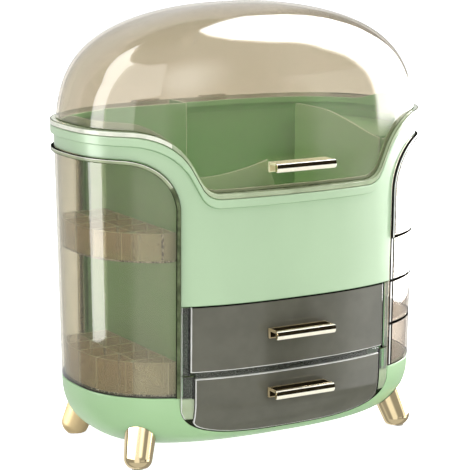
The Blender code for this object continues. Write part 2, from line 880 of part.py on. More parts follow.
def make_upper_drawer():
    bm = bmesh.new()
    front_shell(bm, UPPER_X, UPPER_Z1, lambda x: UPPER_Z0, 2.6, 14, 2)
    drawer = put("upper_drawer", bm)
    w = 1.8
    y0 = front_y(85.0, 100.0, 1.3)

    def tub(b):
        loops = [
            box_loop(85.0, y0, DRAWER_BACK, UPPER_Z0 + 0.3),
            box_loop(87.0, y0, DRAWER_BACK, 122.0),
            box_loop(87.0 - w, y0 + w, DRAWER_BACK - w, 122.0),
            box_loop(85.0 - w, y0 + w, DRAWER_BACK - w, UPPER_Z0 + 0.3 + w),
        ]
        add_skin(b, loops)

    def floor_front(b):
        add_skin(
            b,
            [
                [(x, y, z) for x, y in fill]
                for z, fill in (
                    (UPPER_Z0 + 0.3, floor_fill(84.0, 79.0, y0)),
                    (UPPER_Z0 + 0.3 + w, floor_fill(84.0, 79.0, y0)),
                )
            ],
        )

    join(drawer, tub)
    # the floor reaches the curved front, and the tub's straight front wall goes
    cut(drawer, lambda b: tub_window(b, 83.0, UPPER_Z0 + 0.3 + w, 140.0, y0, UPPER_Z0))
    join(drawer, floor_front)
    return drawer


def floor_fill(half_x, z, y_back):
    xs = [-half_x + 2 * half_x * i / 10 for i in range(11)]
    return [(x, front_y(x, z, 1.3)) for x in xs] + [(half_x, y_back + 4.0), (-half_x, y_back + 4.0)]


def tub_window(bm, half_x, z0, z1, y0, z_ref):
    """Space behind a curved drawer front, where the tub's front wall would be."""
    xs = [-half_x + 2 * half_x * i / 10 for i in range(11)]
    rows = []
    for z in (z0, z1):
        row = [(x, front_y(x, max(z_ref, min(z, 128.0)), 2.75), z) for x in xs]
        row += [(half_x, y0 + 4.0, z), (-half_x, y0 + 4.0, z)]
        rows.append(row)
    add_skin(bm, rows)


upper_drawer = make_upper_drawer()
cut(upper_drawer, lambda b: handle_screw_holes(b, front_y(0.0, 100.0), HANDLE_Z["upper"] - 5.0))
give(upper_drawer, SMOKE)


def lower_bottom(x):
    """Lower edge of the lower drawer's front, just above the bowl's opening."""
    u = min(1.0, abs(x) / CUT_X)
    z = Z_BASE - CUT_H * (1 - u**CUT_N) ** (1 / CUT_N)
    corner = max(0.0, (abs(x) - 78.0) / (LOWER_X - 78.0))
    return z + 0.9 + 2.5 * corner**3


def lower_section(z, t):
    """Half width of the lower drawer's tub at height z: it follows the bowl's
    opening and stays clear of it."""
    v = min(1.0, (Z_BASE - (z - 1.1)) / CUT_H)
    x = CUT_X if v <= 0 else CUT_X * (1 - v**CUT_N) ** (1 / CUT_N)
    return min(x - 0.8, 82.6) - t


def build_lower_drawer():
    bm = bmesh.new()
    front_shell(bm, LOWER_X, LOWER_Z1, lower_bottom, 2.6, 20, 6)
    drawer = put("lower_drawer", bm)
    w = 1.8

    def tub_row(z, t, lift=0.0):
        half = lower_section(z, t)
        xs = [-half + 2 * half * i / 10 for i in range(11)]
        y_in = 1.3 if t == 0 else 3.6
        row = [(x, front_y(x, max(z, 27.5), y_in), z + lift) for x in xs]
        row += [(half, DRAWER_BACK - t, z + lift), (-half, DRAWER_BACK - t, z + lift)]
        return row

    def tub(b):
        outer = [tub_row(z, 0.0) for z in (24.6, 25.4, 27.4, 30.5, 36.0, 45.0, 69.0)]
        inner = [tub_row(z, w) for z in (69.0, 45.0, 36.5)]
        inner += [tub_row(z, w, l) for z, l in ((30.5, 0.6), (27.4, 1.2), (25.4, 1.8))]
        add_skin(b, outer + inner)

    join(drawer, tub)

    cut(drawer, lambda b: handle_screw_holes(b, front_y(0.0, 56.0), HANDLE_Z["lower"] - 5.0))
    return drawer


lower_drawer = give(build_lower_drawer(), SMOKE)


# ---------------------------------------------------------------- handles
def handle_section(y_panel, z_top):
    """The L-shaped pull: a top plate with a rounded lip in front and a fixing
    flange against the panel."""
    y0 = y_panel - GAP
    y1 = y_panel - HANDLE_OUT
    lip = []
    for i in range(9):
        a = math.pi / 2 - math.pi * i / 8
        lip.append((y1 + 2.6 - 2.6 * math.cos(a), z_top - HANDLE_H / 2 + HANDLE_H / 2 * math.sin(a)))
    plate_back = [(y1 + 4.2, z_top - HANDLE_H), (y1 + 4.2, z_top - 2.2)]
    flange = [(y0 - 2.0, z_top - 2.2), (y0 - 2.0, z_top - 8.0), (y0, z_top - 8.0), (y0, z_top)]
    return lip + plate_back + flange


def make_handle(name, y_panel, z_top):
    loops = []
    steps = [
        (-HANDLE_HALF, 0.8),
        (-HANDLE_HALF + 0.7, 0.0),
        (HANDLE_HALF - 0.7, 0.0),
        (HANDLE_HALF, 0.8),
    ]
    zc = z_top - HANDLE_H / 2
    for x, inset in steps:
        row = []
        for y, z in handle_section(y_panel, z_top):
            zz = z + (inset if z < zc else -inset)
            row.append((x, y + (inset * 0.6 if y < y_panel - 10 else 0.0), zz))
        loops.append(row)
    obj = skin(name, loops)

    def ends(bm):
        for s in (-1, 1):
            lo = (s * 40.0, y_panel - HANDLE_OUT + 4.4, z_top - 12.0)
            hi = (s * HANDLE_WEB_HALF, y_panel + 4.0, z_top + 4.0)
            add_box(
                bm,
                (min(lo[0], hi[0]), lo[1], lo[2]),
                (max(lo[0], hi[0]), hi[1], hi[2]),
            )

    def bores(bm):
        for x in (-SCREW_X, SCREW_X):
            add_cylinder(
                bm, (x, y_panel - 1.9, z_top - 5.0), (x, y_panel + 3.0, z_top - 5.0), 1.4, 12
            )

    cut(obj, ends)
    cut(obj, bores)
    return give(obj, GOLD)


def make_handle_screws(prefix, y_panel, z_top, wall):
    for side, x in (("left", -SCREW_X), ("right", SCREW_X)):
        surface = y_panel + 0.35
        bm = bmesh.new()
        z = z_top - 5.0
        add_cylinder(bm, (x, y_panel - 1.6, z), (x, surface + wall + 1.4, z), 1.1, 10)
        obj = put(f"{prefix}_handle_screw_{side}", bm)
        join(
            obj,
            lambda b: add_cylinder(
                b, (x, surface + wall + 0.6, z), (x, surface + wall + 2.2, z), 2.8, 14, 2.2
            ),
        )
        give(obj, STEEL)


PANEL_Y = {
    "upper": front_y(0.0, HANDLE_Z["upper"]),
    "lower": front_y(0.0, HANDLE_Z["lower"]),
    "lid": dome_at(("x", 0.0, -1), 0.0, HANDLE_Z["lid"])[1],
}
for key in ("upper", "lower"):
    make_handle(key + "_drawer_handle", PANEL_Y[key], HANDLE_Z[key])
    make_handle_screws(
        key + "_drawer", PANEL_Y[key], HANDLE_Z[key], {"upper": 2.9, "lower": 4.1}[key]
    )

# ---------------------------------------------------------------- lid
lid_low = shift(parting, GAP)


def dome_rows(off, count, start):
    """Loops from the rim to a small ring near the top, at one wall surface."""
    loops = []
    for k in range(count + 1):
        row = []
        for s in AROUND:
            z_start = start(s)
            # the second loop clears the collar, and the rest close over the top
            t_low = (z_start + 13.0 - DOME_Z0) / DOME_H
            a0 = math.asin(t_low ** (DOME_M1 / 2))
            a1 = math.asin(0.9999 ** (DOME_M1 / 2))
            a = a0 + (a1 - a0) * max(0.0, k - 1) / (count - 1)
            t = math.sin(a) ** (2 / DOME_M1)
            z = DOME_Z0 + (DOME_H - off) * t
            if k == 0:
                z = z_start
                t = (z_start - DOME_Z0) / DOME_H
            scale = (1.0 - t**DOME_M1) ** (1.0 / DOME_M2)
            x, y = dome_at(s, off * scale if k else off, z, scale)
            row.append((x, y, z))
        loops.append(row)
    return loops


def make_lid():
    outer = dome_rows(0.0, 9, shift(parting, GAP + LID_FLANGE_H))
    inner = dome_rows(LID_WALL, 6, lid_low)
    loops = list(reversed(inner))
    loops.append(loop_of(body_at, AROUND, -LID_FLANGE_OUT + 0.5, lid_low))
    loops.append(loop_of(body_at, AROUND, -LID_FLANGE_OUT, shift(parting, GAP + 0.5)))
    loops.append(loop_of(body_at, AROUND, -LID_FLANGE_OUT, shift(parting, GAP + LID_FLANGE_H - 0.6)))
    loops.append(loop_of(body_at, AROUND, -LID_FLANGE_OUT + 0.6, shift(parting, GAP + LID_FLANGE_H)))
    loops += outer
    lid = skin("lid_dome", loops)
    cut(lid, lambda b: handle_screw_holes(b, PANEL_Y["lid"], HANDLE_Z["lid"] - 5.0))
    return lid


lid_dome = give(make_lid(), BEIGE)
make_handle("lid_handle", PANEL_Y["lid"], HANDLE_Z["lid"])
make_handle_screws("lid", PANEL_Y["lid"], HANDLE_Z["lid"], LID_WALL + 0.3)


def make_hinge(side_name, x0):
    x_mid = abs(x0)
    rear_body = body_at(("x", x_mid - 4.0, 1), -RING_OUT, Z_PART)[1] + GAP
    rear_lid = body_at(("x", x_mid - 12.0, 1), -LID_FLANGE_OUT, Z_PART + 5.0)[1] + GAP

    def bored(name, spans, arm):
        bm = bmesh.new()
        add_box(bm, *arm)
        obj = put(name, bm)
        for a, b in spans:
            join(
                obj,
                lambda m, a=a, b=b: add_cylinder(
                    m, (a, HINGE_Y, HINGE_Z), (b, HINGE_Y, HINGE_Z), HINGE_R, 20
                ),
            )
        cut(
            obj,
            lambda m: add_cylinder(
                m, (x0 - 30, HINGE_Y, HINGE_Z), (x0 + 30, HINGE_Y, HINGE_Z), HINGE_BORE, 14
            ),
        )
        return obj

    bracket = bored(
        "hinge_bracket_" + side_name,
        [(x0 - 4.0, x0 + 4.0)],
        ((x0 - 4.0, rear_body, HINGE_Z - 8.0), (x0 + 4.0, HINGE_Y + 1.5, HINGE_Z - 1.4)),
    )
    give(bracket, GREEN)
    leaf = bored(
        "hinge_leaf_" + side_name,
        [(x0 - 12.0, x0 + 12.0)],
        ((x0 - 12.0, rear_lid, HINGE_Z + 0.2), (x0 + 12.0, HINGE_Y + 1.5, HINGE_Z + 4.2)),
    )
    cut(
        leaf,
        lambda m: add_box(
            m,
            (x0 - 4.4, HINGE_Y - HINGE_R - 0.6, HINGE_Z - HINGE_R - 2.0),
            (x0 + 4.4, HINGE_Y + HINGE_R + 2.0, HINGE_Z + HINGE_R + 0.4),
        ),
    )
    give(leaf, BEIGE)
    bm = bmesh.new()
    add_cylinder(
        bm, (x0 - 12.4, HINGE_Y, HINGE_Z), (x0 + 12.4, HINGE_Y, HINGE_Z), HINGE_PIN, 12
    )
    give(put("hinge_pin_" + side_name, bm), STEEL)
    return leaf


make_hinge("left", -HINGE_X)
make_hinge("right", HINGE_X)


# ---------------------------------------------------------------- side door
def side_stations(side):
    """Stations of a side opening, from its front edge to the hinge barrel."""
    front = [("x", side * (x + 0.4), -1) for x in FRONT_OUTER]
    angles = [24.0, 16.0, 8.0, 0.0, -8.0, -16.0, -24.0]
    if side > 0:
        end = [("t", math.radians(-a)) for a in angles]
    else:
        end = [("t", math.pi + math.radians(a)) for a in angles]
    rear = [("x", side * x, 1) for x in (128.0, 119.0, 111.4)]
    return front + end + rear


def door_top(station):
    """Top edge of a side door: the shell's arch, a little inside it."""
    x = abs(body_at(station, 0.0, Z_DOOR)[0])
    if is_front(station) and x < ARCH_X + 0.4:
        return arch(x - 0.4) - 0.45
    return Z_DOOR - GAP - 0.1


FLANGE_OUT, FLANGE_H = 2.8, 3.2
DOOR_WALL = 2.0


def flange_at(station):
    """How far the top flange stands out: it runs out before the hinge."""
    x = abs(body_at(station, 0.0, Z_DOOR)[0])
    if is_front(station) or x > 135.0:
        return FLANGE_OUT
    return FLANGE_OUT * min(1.0, max(0.04, (x - 112.0) / 20.0))


def door_sections(side, z0, top):
    """Closed sections along a side opening's outline. The first ones, at the
    front edge, carry the upright flange, and the last ones thicken upwards to
    stay on the upright hinge."""
    sections = []
    stations = side_stations(side)
    for i, s in enumerate(stations):
        zt = top(s)
        out = flange_at(s)
        low = out if i < 3 else 0.0
        reach = DRAFT * (zt - z0) + 1.2 if i >= len(stations) - 2 else 0.0
        row = []
        for off, z in (
            (-low, z0),
            (-low, zt - FLANGE_H - 0.8),
            (-out, zt - FLANGE_H),
            (-out, zt - 0.5),
            (-out + 0.6, zt),
            (DOOR_WALL + reach, zt),
            (DOOR_WALL + 0.6 * (reach > 0), z0),
        ):
            x, y = body_at(s, off, z)
            row.append((x, y, z))
        sections.append(row)
    return sections


def add_barrel(obj, side, z0, z1):
    join(
        obj,
        lambda b: add_cylinder(
            b, (side * PIVOT_X, PIVOT_Y, z0), (side * PIVOT_X, PIVOT_Y, z1), BARREL_R, 20
        ),
    )
    cut(
        obj,
        lambda b: add_cylinder(
            b,
            (side * PIVOT_X, PIVOT_Y, z0 - 5),
            (side * PIVOT_X, PIVOT_Y, z1 + 5),
            BORE_R,
            14,
        ),
    )


def make_left_door():
    door = skin("left_door", door_sections(-1, Z_BASE + GAP, door_top))
    add_barrel(door, -1, Z_BASE + GAP, Z_DOOR - GAP - 0.1)
    return door


left_door = give(hang(make_left_door(), (-PIVOT_X, PIVOT_Y, 150.0)), BEIGE)

for side_name, side in (("left", -1), ("right", 1)):
    bm = bmesh.new()
    add_cylinder(
        bm, (side * PIVOT_X, PIVOT_Y, 52.6), (side * PIVOT_X, PIVOT_Y, 246.8), ROD_R, 12
    )
    give(put("pivot_rod_" + side_name, bm), STEEL)


# ---------------------------------------------------------------- right trays
def make_right_tray(index, z0, z1, top=None):
    wall, floor = TRAY_WALL, TRAY_FLOOR
    inner_x = CORE_X + 0.6
    inner_top = z1 if top is None else 236.0
    stations = side_stations(1)

    def ring(off, z_rule, ix, cham, x_front=None):
        row = []
        for s in stations:
            z = z_rule(s)
            o = off * flange_at(s) if off < 0 else off
            x, y = body_at(s, o, z)
            if x_front is not None and is_front(s) and x < x_front:
                x, y = body_at(("x", x_front + (x - 95.0) * 0.05, -1), o, z)
            row.append((x, y, z))
        zi = z_rule(None)
        row += [
            (106.6 - cham * 0.8, 66.0 - cham * 1.4, zi),
            (ix + 6.0, 60.0 - cham, zi),
            (ix, 48.0 - cham * 0.5, zi),
            (ix, -56.0, zi),
            (ix + 0.9, -72.4 if x_front is None else -70.6, zi if zi < 220 else zi - 38.0),
        ]
        return row

    flat = lambda z: (lambda s: z)
    high = (lambda s: inner_top if s is None else top(s)) if top else flat(z1)
    loops = [ring(0.0, flat(z0), inner_x, 0.0)]
    if top:
        loops += [
            ring(0.0, lambda s: inner_top - 4 if s is None else top(s) - FLANGE_H - 0.8, inner_x, 0.0),
            ring(-1.0, lambda s: inner_top - 3 if s is None else top(s) - FLANGE_H, inner_x, 0.0),
            ring(-1.0, lambda s: inner_top - 0.5 if s is None else top(s) - 0.5, inner_x, 0.0),
            ring(-0.8, high, inner_x, 0.0),
        ]
    else:
        loops += [ring(0.0, high, inner_x, 0.0)]
    x_in = 97.6
    loops += [
        ring(wall, high, inner_x + wall, 3.0, x_in),
        ring(wall, flat(z0 + floor), inner_x + wall, 3.0, x_in),
    ]
    name = f"right_tray_{index}"
    tray = skin(name, loops)
    add_barrel(tray, 1, z0, (Z_DOOR - GAP - 0.1) if top else z1)
    return give(hang(tray, (PIVOT_X, PIVOT_Y, z0)), BEIGE if top or index == 2 else RACK)


levels = (Z_BASE + GAP,) + TIERS
for i in range(4):
    low = levels[i] + (0.0 if i == 0 else 0.2)
    number = 4 - i
    if number == 1:
        make_right_tray(1, low, 0.0, door_top)
    else:
        make_right_tray(number, low, levels[i + 1] - 0.2)

# ---------------------------------------------------------------- lipstick racks
RACK_YS = (-71.0, -50.5, -25.5, -0.5, 24.5, 49.0)
RACK_XS = (95.2, 121.6, 148.0)
RACK_OFF = 3.4
RACK_T = 1.2


def clip(polygon, keep):
    """The part of a convex polygon where keep (a signed distance) is >= 0."""
    out = []
    for i, p in enumerate(polygon):
        q = polygon[(i + 1) % len(polygon)]
        dp, dq = keep(p), keep(q)
        if dp >= 0:
            out.append(p)
        if (dp >= 0) != (dq >= 0):
            u = dp / (dp - dq)
            out.append((p[0] + (q[0] - p[0]) * u, p[1] + (q[1] - p[1]) * u))
    return out


def inside_polygon(polygon, window):
    """A convex polygon clipped to a convex window given counter-clockwise."""
    for i, a in enumerate(window):
        b = window[(i + 1) % len(window)]

        def keep(p, a=a, b=b):
            return (b[0] - a[0]) * (p[1] - a[1]) - (b[1] - a[1]) * (p[0] - a[0])

        polygon = clip(polygon, keep)
        if len(polygon) < 3:
            return []
    return polygon


def area(polygon):
    return 0.5 * abs(
        sum(
            p[0] * q[1] - p[1] * q[0]
            for p, q in zip(polygon, polygon[1:] + polygon[:1])
        )
    )


def rack_outline(off, z, x_inner, y0, y1, count=18):
    """A half oval on the left side, counter-clockwise seen from above."""
    a = PLAN_A - shrink(off, z)
    b = PLAN_B - shrink(off, z)
    points = []
    for i in range(count + 1):
        y = y1 + (y0 - y1) * (0.5 - 0.5 * math.cos(math.pi * i / count))
        x = a * max(0.0, 1 - (abs(y) / b) ** PLAN_N) ** (1 / PLAN_N)
        points.append((-max(x, x_inner + 1.0), y))
    return points + [(-x_inner, y0), (-x_inner, y1)]


def make_rack(name, z0, z1, hooks):
    z_ref = (z0 + z1) / 2
    outline = rack_outline(RACK_OFF, z_ref, RACK_XS[0], RACK_YS[0], RACK_YS[-1])
    loops = [[(x, y, z0) for x, y in outline], [(x, y, z1) for x, y in outline]]
    rack = skin(name, loops)
    window = rack_outline(RACK_OFF + RACK_T, z_ref, RACK_XS[0] + RACK_T, RACK_YS[0] + RACK_T, RACK_YS[-1] - RACK_T)
    cells = []
    for xa, xb in zip(RACK_XS, RACK_XS[1:]):
        for ya, yb in zip(RACK_YS, RACK_YS[1:]):
            h = RACK_T / 2
            cell = [(-xa - h, yb - h), (-xb + h, yb - h), (-xb + h, ya + h), (-xa - h, ya + h)]
            cell = inside_polygon(cell, window)
            if cell and area(cell) > 90.0:
                cells.append(cell)

    def pockets(bm):
        for cell in cells:
            add_skin(bm, [[(x, y, z0 + 1.4) for x, y in cell], [(x, y, z1 + 5) for x, y in cell]])

    cut(rack, pockets)
    if hooks:

        def lugs(bm):
            hook = [
                (-96.0, 173.9),
                (-91.7, 173.9),
                (-91.7, 171.5),
                (-90.0, 171.5),
                (-90.0, 176.6),
                (-96.0, 176.6),
            ]
            for y in RACK_SLOTS:
                add_skin(bm, [[(x, y + d, z) for x, z in hook] for d in (-5.2, 5.2)])

        join(rack, lugs)
    return give(rack, RACK)


make_rack("lipstick_rack_lower", Z_BASE + 2 * GAP, 86.0, False)
make_rack("lipstick_rack_upper", 164.4, 187.0, True)

for obj in PARTS.objects:
    obj.location.y += Y_CENTRE * MM
    if not obj.name.startswith("foot_") or obj.name.startswith("foot_pad"):
        obj.data.shade_smooth()
        obj.data.set_sharp_from_angle(angle=math.radians(35))
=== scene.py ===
import json
import math

import bmesh
import bpy
from mathutils import Matrix, Vector

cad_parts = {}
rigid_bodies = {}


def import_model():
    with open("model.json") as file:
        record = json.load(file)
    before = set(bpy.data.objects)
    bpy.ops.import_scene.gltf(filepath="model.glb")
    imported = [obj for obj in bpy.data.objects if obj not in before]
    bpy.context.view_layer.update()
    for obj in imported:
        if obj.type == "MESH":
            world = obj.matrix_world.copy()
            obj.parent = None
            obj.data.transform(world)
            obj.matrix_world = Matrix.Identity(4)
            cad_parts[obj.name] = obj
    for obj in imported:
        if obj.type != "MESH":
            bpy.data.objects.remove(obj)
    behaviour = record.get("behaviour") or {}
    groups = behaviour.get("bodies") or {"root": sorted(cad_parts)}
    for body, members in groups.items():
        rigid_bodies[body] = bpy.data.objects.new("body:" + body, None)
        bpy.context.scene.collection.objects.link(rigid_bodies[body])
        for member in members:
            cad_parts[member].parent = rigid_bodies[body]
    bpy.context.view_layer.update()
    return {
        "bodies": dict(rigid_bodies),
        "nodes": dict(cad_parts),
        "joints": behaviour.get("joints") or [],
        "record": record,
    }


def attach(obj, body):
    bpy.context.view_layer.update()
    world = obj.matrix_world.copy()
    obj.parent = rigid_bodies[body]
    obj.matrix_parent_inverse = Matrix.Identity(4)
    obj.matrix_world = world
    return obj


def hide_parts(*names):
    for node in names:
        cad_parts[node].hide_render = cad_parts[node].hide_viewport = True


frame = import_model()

# Looks of an oval cosmetics box: a clear dome lid, a green body, smoked drawers,
# a swing door with two racks, four stacked trays, gold pulls and feet.
# Lengths are millimetres, multiplied by MM where a mesh is made. The whole form
# is moved by Y_CENTRE in Y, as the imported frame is.

MM = 0.001
Y_CENTRE = 2.05
GAP = 0.3

PLAN_A, PLAN_B, PLAN_N = 150.0, 92.2, 2.54
Z_MID, DRAFT = 161.4, 0.0164
Z_BOTTOM, Z_BASE = 12.6, 58.6
BOWL_OFF, BOWL_M1, BOWL_M2, BOWL_WALL = 37.0, 2.71, 0.61, 2.6
Z_PART, DIP, DIP_FLAT = 261.0, 48.4, 66.0
DIP_R_LOW, DIP_R_HIGH, DIP_ANGLE = 17.0, 48.0, math.radians(62.0)
RING_H, RING_OUT = 7.0, 2.6
Z_PANEL, X_PANEL, Z_DOOR = 130.3, 95.4, 243.9
ARCH_X, ARCH_Z, ARCH_RX, ARCH_RZ = 133.0, 201.9, 37.6, 42.0
X_REAR, SKIN = 104.4, 2.4
DOME_A, DOME_B, DOME_N = 149.7, 90.0, 2.75
DOME_Z0, DOME_H, DOME_M1, DOME_M2 = 207.2, 146.5, 4.53, 2.052
LID_WALL, LID_FLANGE_OUT, LID_FLANGE_H = 2.0, 2.7, 4.0
CORE_X, CORE_T, CORE_FRONT_Y = 94.5, 2.4, -74.3
PIVOT_X, PIVOT_Y, BARREL_R, BORE_R, BOSS_R = 108.9, 67.8, 3.0, 1.55, 2.75
CASE_X, CASE_Y0, CASE_Y1, CASE_T = 91.7, -54.8, 55.2, 1.8
SHELF_Z0, SHELF_Z1 = 73.3, 77.5
CUT_X, CUT_H, CUT_N = 96.4, 35.3, 3.0
UPPER_X, UPPER_Z0, UPPER_Z1 = 88.2, 78.0, 129.9
LOWER_X, LOWER_Z1, DRAWER_BACK = 84.6, 72.9, 52.6
TIERS = (94.1, 129.8, 165.6)
TRAY_WALL, TRAY_FLOOR = 1.8, 1.8
HANDLE_HALF, HANDLE_WEB_HALF, HANDLE_OUT, HANDLE_H = 26.7, 25.8, 16.3, 6.8
HANDLE_Z = {"lid": 238.6, "upper": 108.5, "lower": 61.0}
FLANGE_OUT, FLANGE_H, DOOR_WALL = 2.8, 3.2, 2.0
FOOT_X, FOOT_YF, FOOT_YB = 123.4, 57.2, 60.7
FOOT_PHI, FOOT_TILT = math.radians(47.0), math.radians(22.8)
FOOT_R0, FOOT_R1 = 11.3, 13.3
TRAY_Z1 = 137.2

NODES = frame["nodes"]


# ------------------------------------------------------------------ materials
class Nodes:
    """Short calls that add nodes to one node tree."""

    def __init__(self, tree):
        self.tree = tree

    def add(self, kind, **sockets):
        node = self.tree.nodes.new(kind)
        for key, value in sockets.items():
            name = key.replace("_", " ")
            if name in node.inputs:
                self.feed(node.inputs[name], value)
            else:
                setattr(node, key, value)
        return node

    def feed(self, socket, value):
        if isinstance(value, bpy.types.NodeSocket):
            self.tree.links.new(value, socket)
        else:
            socket.default_value = value

    def math(self, operation, a, b=None, c=None):
        node = self.tree.nodes.new("ShaderNodeMath")
        node.operation = operation
        for i, v in enumerate((a, b, c)):
            if v is not None:
                self.feed(node.inputs[i], v)
        return node.outputs[0]

    def span(self, value, a, b, c=0.0, d=1.0, smooth=True):
        node = self.tree.nodes.new("ShaderNodeMapRange")
        node.interpolation_type = "SMOOTHSTEP" if smooth else "LINEAR"
        self.feed(node.inputs["Value"], value)
        for name, v in (("From Min", a), ("From Max", b), ("To Min", c), ("To Max", d)):
            self.feed(node.inputs[name], v)
        return node.outputs["Result"]

    def mix(self, factor, a, b):
        node = self.tree.nodes.new("ShaderNodeMix")
        node.data_type = "RGBA"
        self.feed(node.inputs[0], factor)
        self.feed(node.inputs[6], a)
        self.feed(node.inputs[7], b)
        return node.outputs[2]

    def noise(self, vector, scale, detail=3.0, rough=0.5):
        node = self.tree.nodes.new("ShaderNodeTexNoise")
        self.feed(node.inputs["Vector"], vector)
        self.feed(node.inputs["Scale"], scale)
        self.feed(node.inputs["Detail"], detail)
        self.feed(node.inputs["Roughness"], rough)
        return node.outputs["Fac"]


def blank(name):
    mat = bpy.data.materials.new(name)
    mat.use_nodes = True
    mat.node_tree.nodes.clear()
    return mat, Nodes(mat.node_tree)


def rgba(colour, gain=1.0):
    return tuple(min(1.0, c * gain) for c in colour) + (1.0,)


def stretched(n, scale):
    """The object's own coordinates, scaled along each axis."""
    where = n.tree.nodes.new("ShaderNodeTexCoord").outputs["Object"]
    node = n.tree.nodes.new("ShaderNodeMapping")
    n.feed(node.inputs["Vector"], where)
    node.inputs["Scale"].default_value = scale
    return node.outputs["Vector"]


def moulded(name, colour, rough=0.3, edge_highlight=0.10, grain=0.012, coat=0.25):
    """Opaque injection-moulded plastic: a soft flow pattern, fine orange peel,
    uneven gloss, and sharp edges lightened with a painted highlight."""
    mat, n = blank(name)
    plain = stretched(n, (1, 1, 1))
    flow = n.noise(stretched(n, (9, 9, 5)), 1.0, 3.0, 0.55)
    speck = n.noise(plain, 520.0, 2.0, 0.6)
    edge_sharpness = n.tree.nodes.new("ShaderNodeNewGeometry").outputs["Pointiness"]
    edge = n.math("MULTIPLY", n.span(edge_sharpness, 0.53, 0.62), n.span(n.noise(plain, 70.0), 0.35, 0.7, 0.4, 1.0))
    base = n.mix(n.span(flow, 0.3, 0.7), rgba(colour, 0.965), rgba(colour, 1.035))
    base = n.mix(n.span(speck, 0.35, 0.65, 0.0, 0.05), base, rgba(colour, 0.88))
    # painted highlight: sharp edges mixed towards a paler colour
    base = n.mix(n.math("MULTIPLY", edge, edge_highlight * 2.0), base, rgba([0.5 + 0.5 * c for c in colour]))
    gloss = n.math("ADD", n.span(flow, 0.25, 0.75, rough - 0.04, rough + 0.05), n.span(speck, 0.3, 0.7, -0.015, 0.02))
    bump = n.add("ShaderNodeBump", Strength=0.10, Distance=grain * MM * 4, Height=n.noise(plain, 900.0, 2.0, 0.5))
    bump2 = n.add("ShaderNodeBump", Strength=0.16, Distance=0.05 * MM, Height=n.noise(plain, 60.0, 1.0), Normal=bump.outputs[0])
    shader = n.add("ShaderNodeBsdfPrincipled", Base_Color=base, Roughness=gloss, Normal=bump2.outputs[0])
    shader.inputs["Coat Weight"].default_value = coat
    shader.inputs["Coat Roughness"].default_value = 0.12
    shader.inputs["IOR"].default_value = 1.47
    n.add("ShaderNodeOutputMaterial", Surface=shader.outputs[0])
    return mat


def see_through(name, tint, body, cover, rough=0.035, ior=1.5, ripple=0.05, cloud=0.12, gloss_tint=(1, 1, 1)):
    """Tinted clear plastic wall. tint is what one surface lets through, body the
    milky colour that covers a share of it, and the gloss sits on top."""
    mat, n = blank(name)
    plain = stretched(n, (1, 1, 1))
    flow = n.noise(stretched(n, (7, 7, 3)), 1.0, 2.0, 0.5)
    haze = n.noise(plain, 34.0, 3.0, 0.6)
    edge_sharpness = n.tree.nodes.new("ShaderNodeNewGeometry").outputs["Pointiness"]
    edge = n.span(edge_sharpness, 0.54, 0.66)
    wave = n.add("ShaderNodeBump", Strength=ripple, Distance=0.25 * MM, Height=n.noise(stretched(n, (22, 22, 9)), 1.0, 1.0))
    fine = n.add("ShaderNodeBump", Strength=0.01, Distance=0.003 * MM, Height=n.noise(plain, 260.0, 1.0), Normal=wave.outputs[0])
    passing = n.mix(n.span(flow, 0.3, 0.7), rgba([t ** 0.9 for t in tint]), rgba([t ** 1.1 for t in tint]))
    shadow = n.add("ShaderNodeLightPath").outputs["Is Shadow Ray"]
    passing = n.mix(shadow, passing, rgba([t ** 0.12 for t in tint]))
    lit = n.math("SUBTRACT", 1.0, n.math("MULTIPLY", shadow, 0.8))
    clear = n.add("ShaderNodeBsdfTransparent", Color=passing)
    milk = n.mix(n.span(haze, 0.3, 0.7), rgba(body, 0.96), rgba(body, 1.05))
    # painted highlight: sharp edges get a paler milk that covers more of the wall
    milk = n.mix(n.math("MULTIPLY", edge, 0.55), milk, rgba([0.55 + 0.45 * c for c in body]))
    shine = n.span(haze, 0.3, 0.7, rough * 0.8, rough * 1.5)
    solid = n.add("ShaderNodeBsdfPrincipled", Base_Color=milk, Roughness=n.math("ADD", shine, 0.12), Normal=fine.outputs[0])
    solid.inputs["Specular IOR Level"].default_value = 0.0
    covered = n.math("ADD", n.span(haze, 0.3, 0.7, cover * (1 - cloud), cover * (1 + cloud)), n.math("MULTIPLY", edge, 0.25))
    inner = n.add("ShaderNodeMixShader")
    n.feed(inner.inputs[0], n.math("MULTIPLY", covered, lit))
    n.feed(inner.inputs[1], clear.outputs[0])
    n.feed(inner.inputs[2], solid.outputs[0])
    mirror = n.add("ShaderNodeBsdfAnisotropic")
    mirror.inputs["Color"].default_value = rgba(gloss_tint)
    n.feed(mirror.inputs["Roughness"], shine)
    n.feed(mirror.inputs["Normal"], fine.outputs[0])
    weight = n.add("ShaderNodeLayerWeight", Blend=0.5, Normal=fine.outputs[0])
    f0 = ((ior - 1) / (ior + 1)) ** 2
    fresnel = n.math("MULTIPLY_ADD", n.math("POWER", weight.outputs["Facing"], 5.0), 1 - f0, f0)
    outer = n.add("ShaderNodeMixShader")
    n.feed(outer.inputs[0], n.math("MULTIPLY", fresnel, lit))
    n.feed(outer.inputs[1], inner.outputs[0])
    n.feed(outer.inputs[2], mirror.outputs[0])
    n.add("ShaderNodeOutputMaterial", Surface=outer.outputs[0])
    return mat


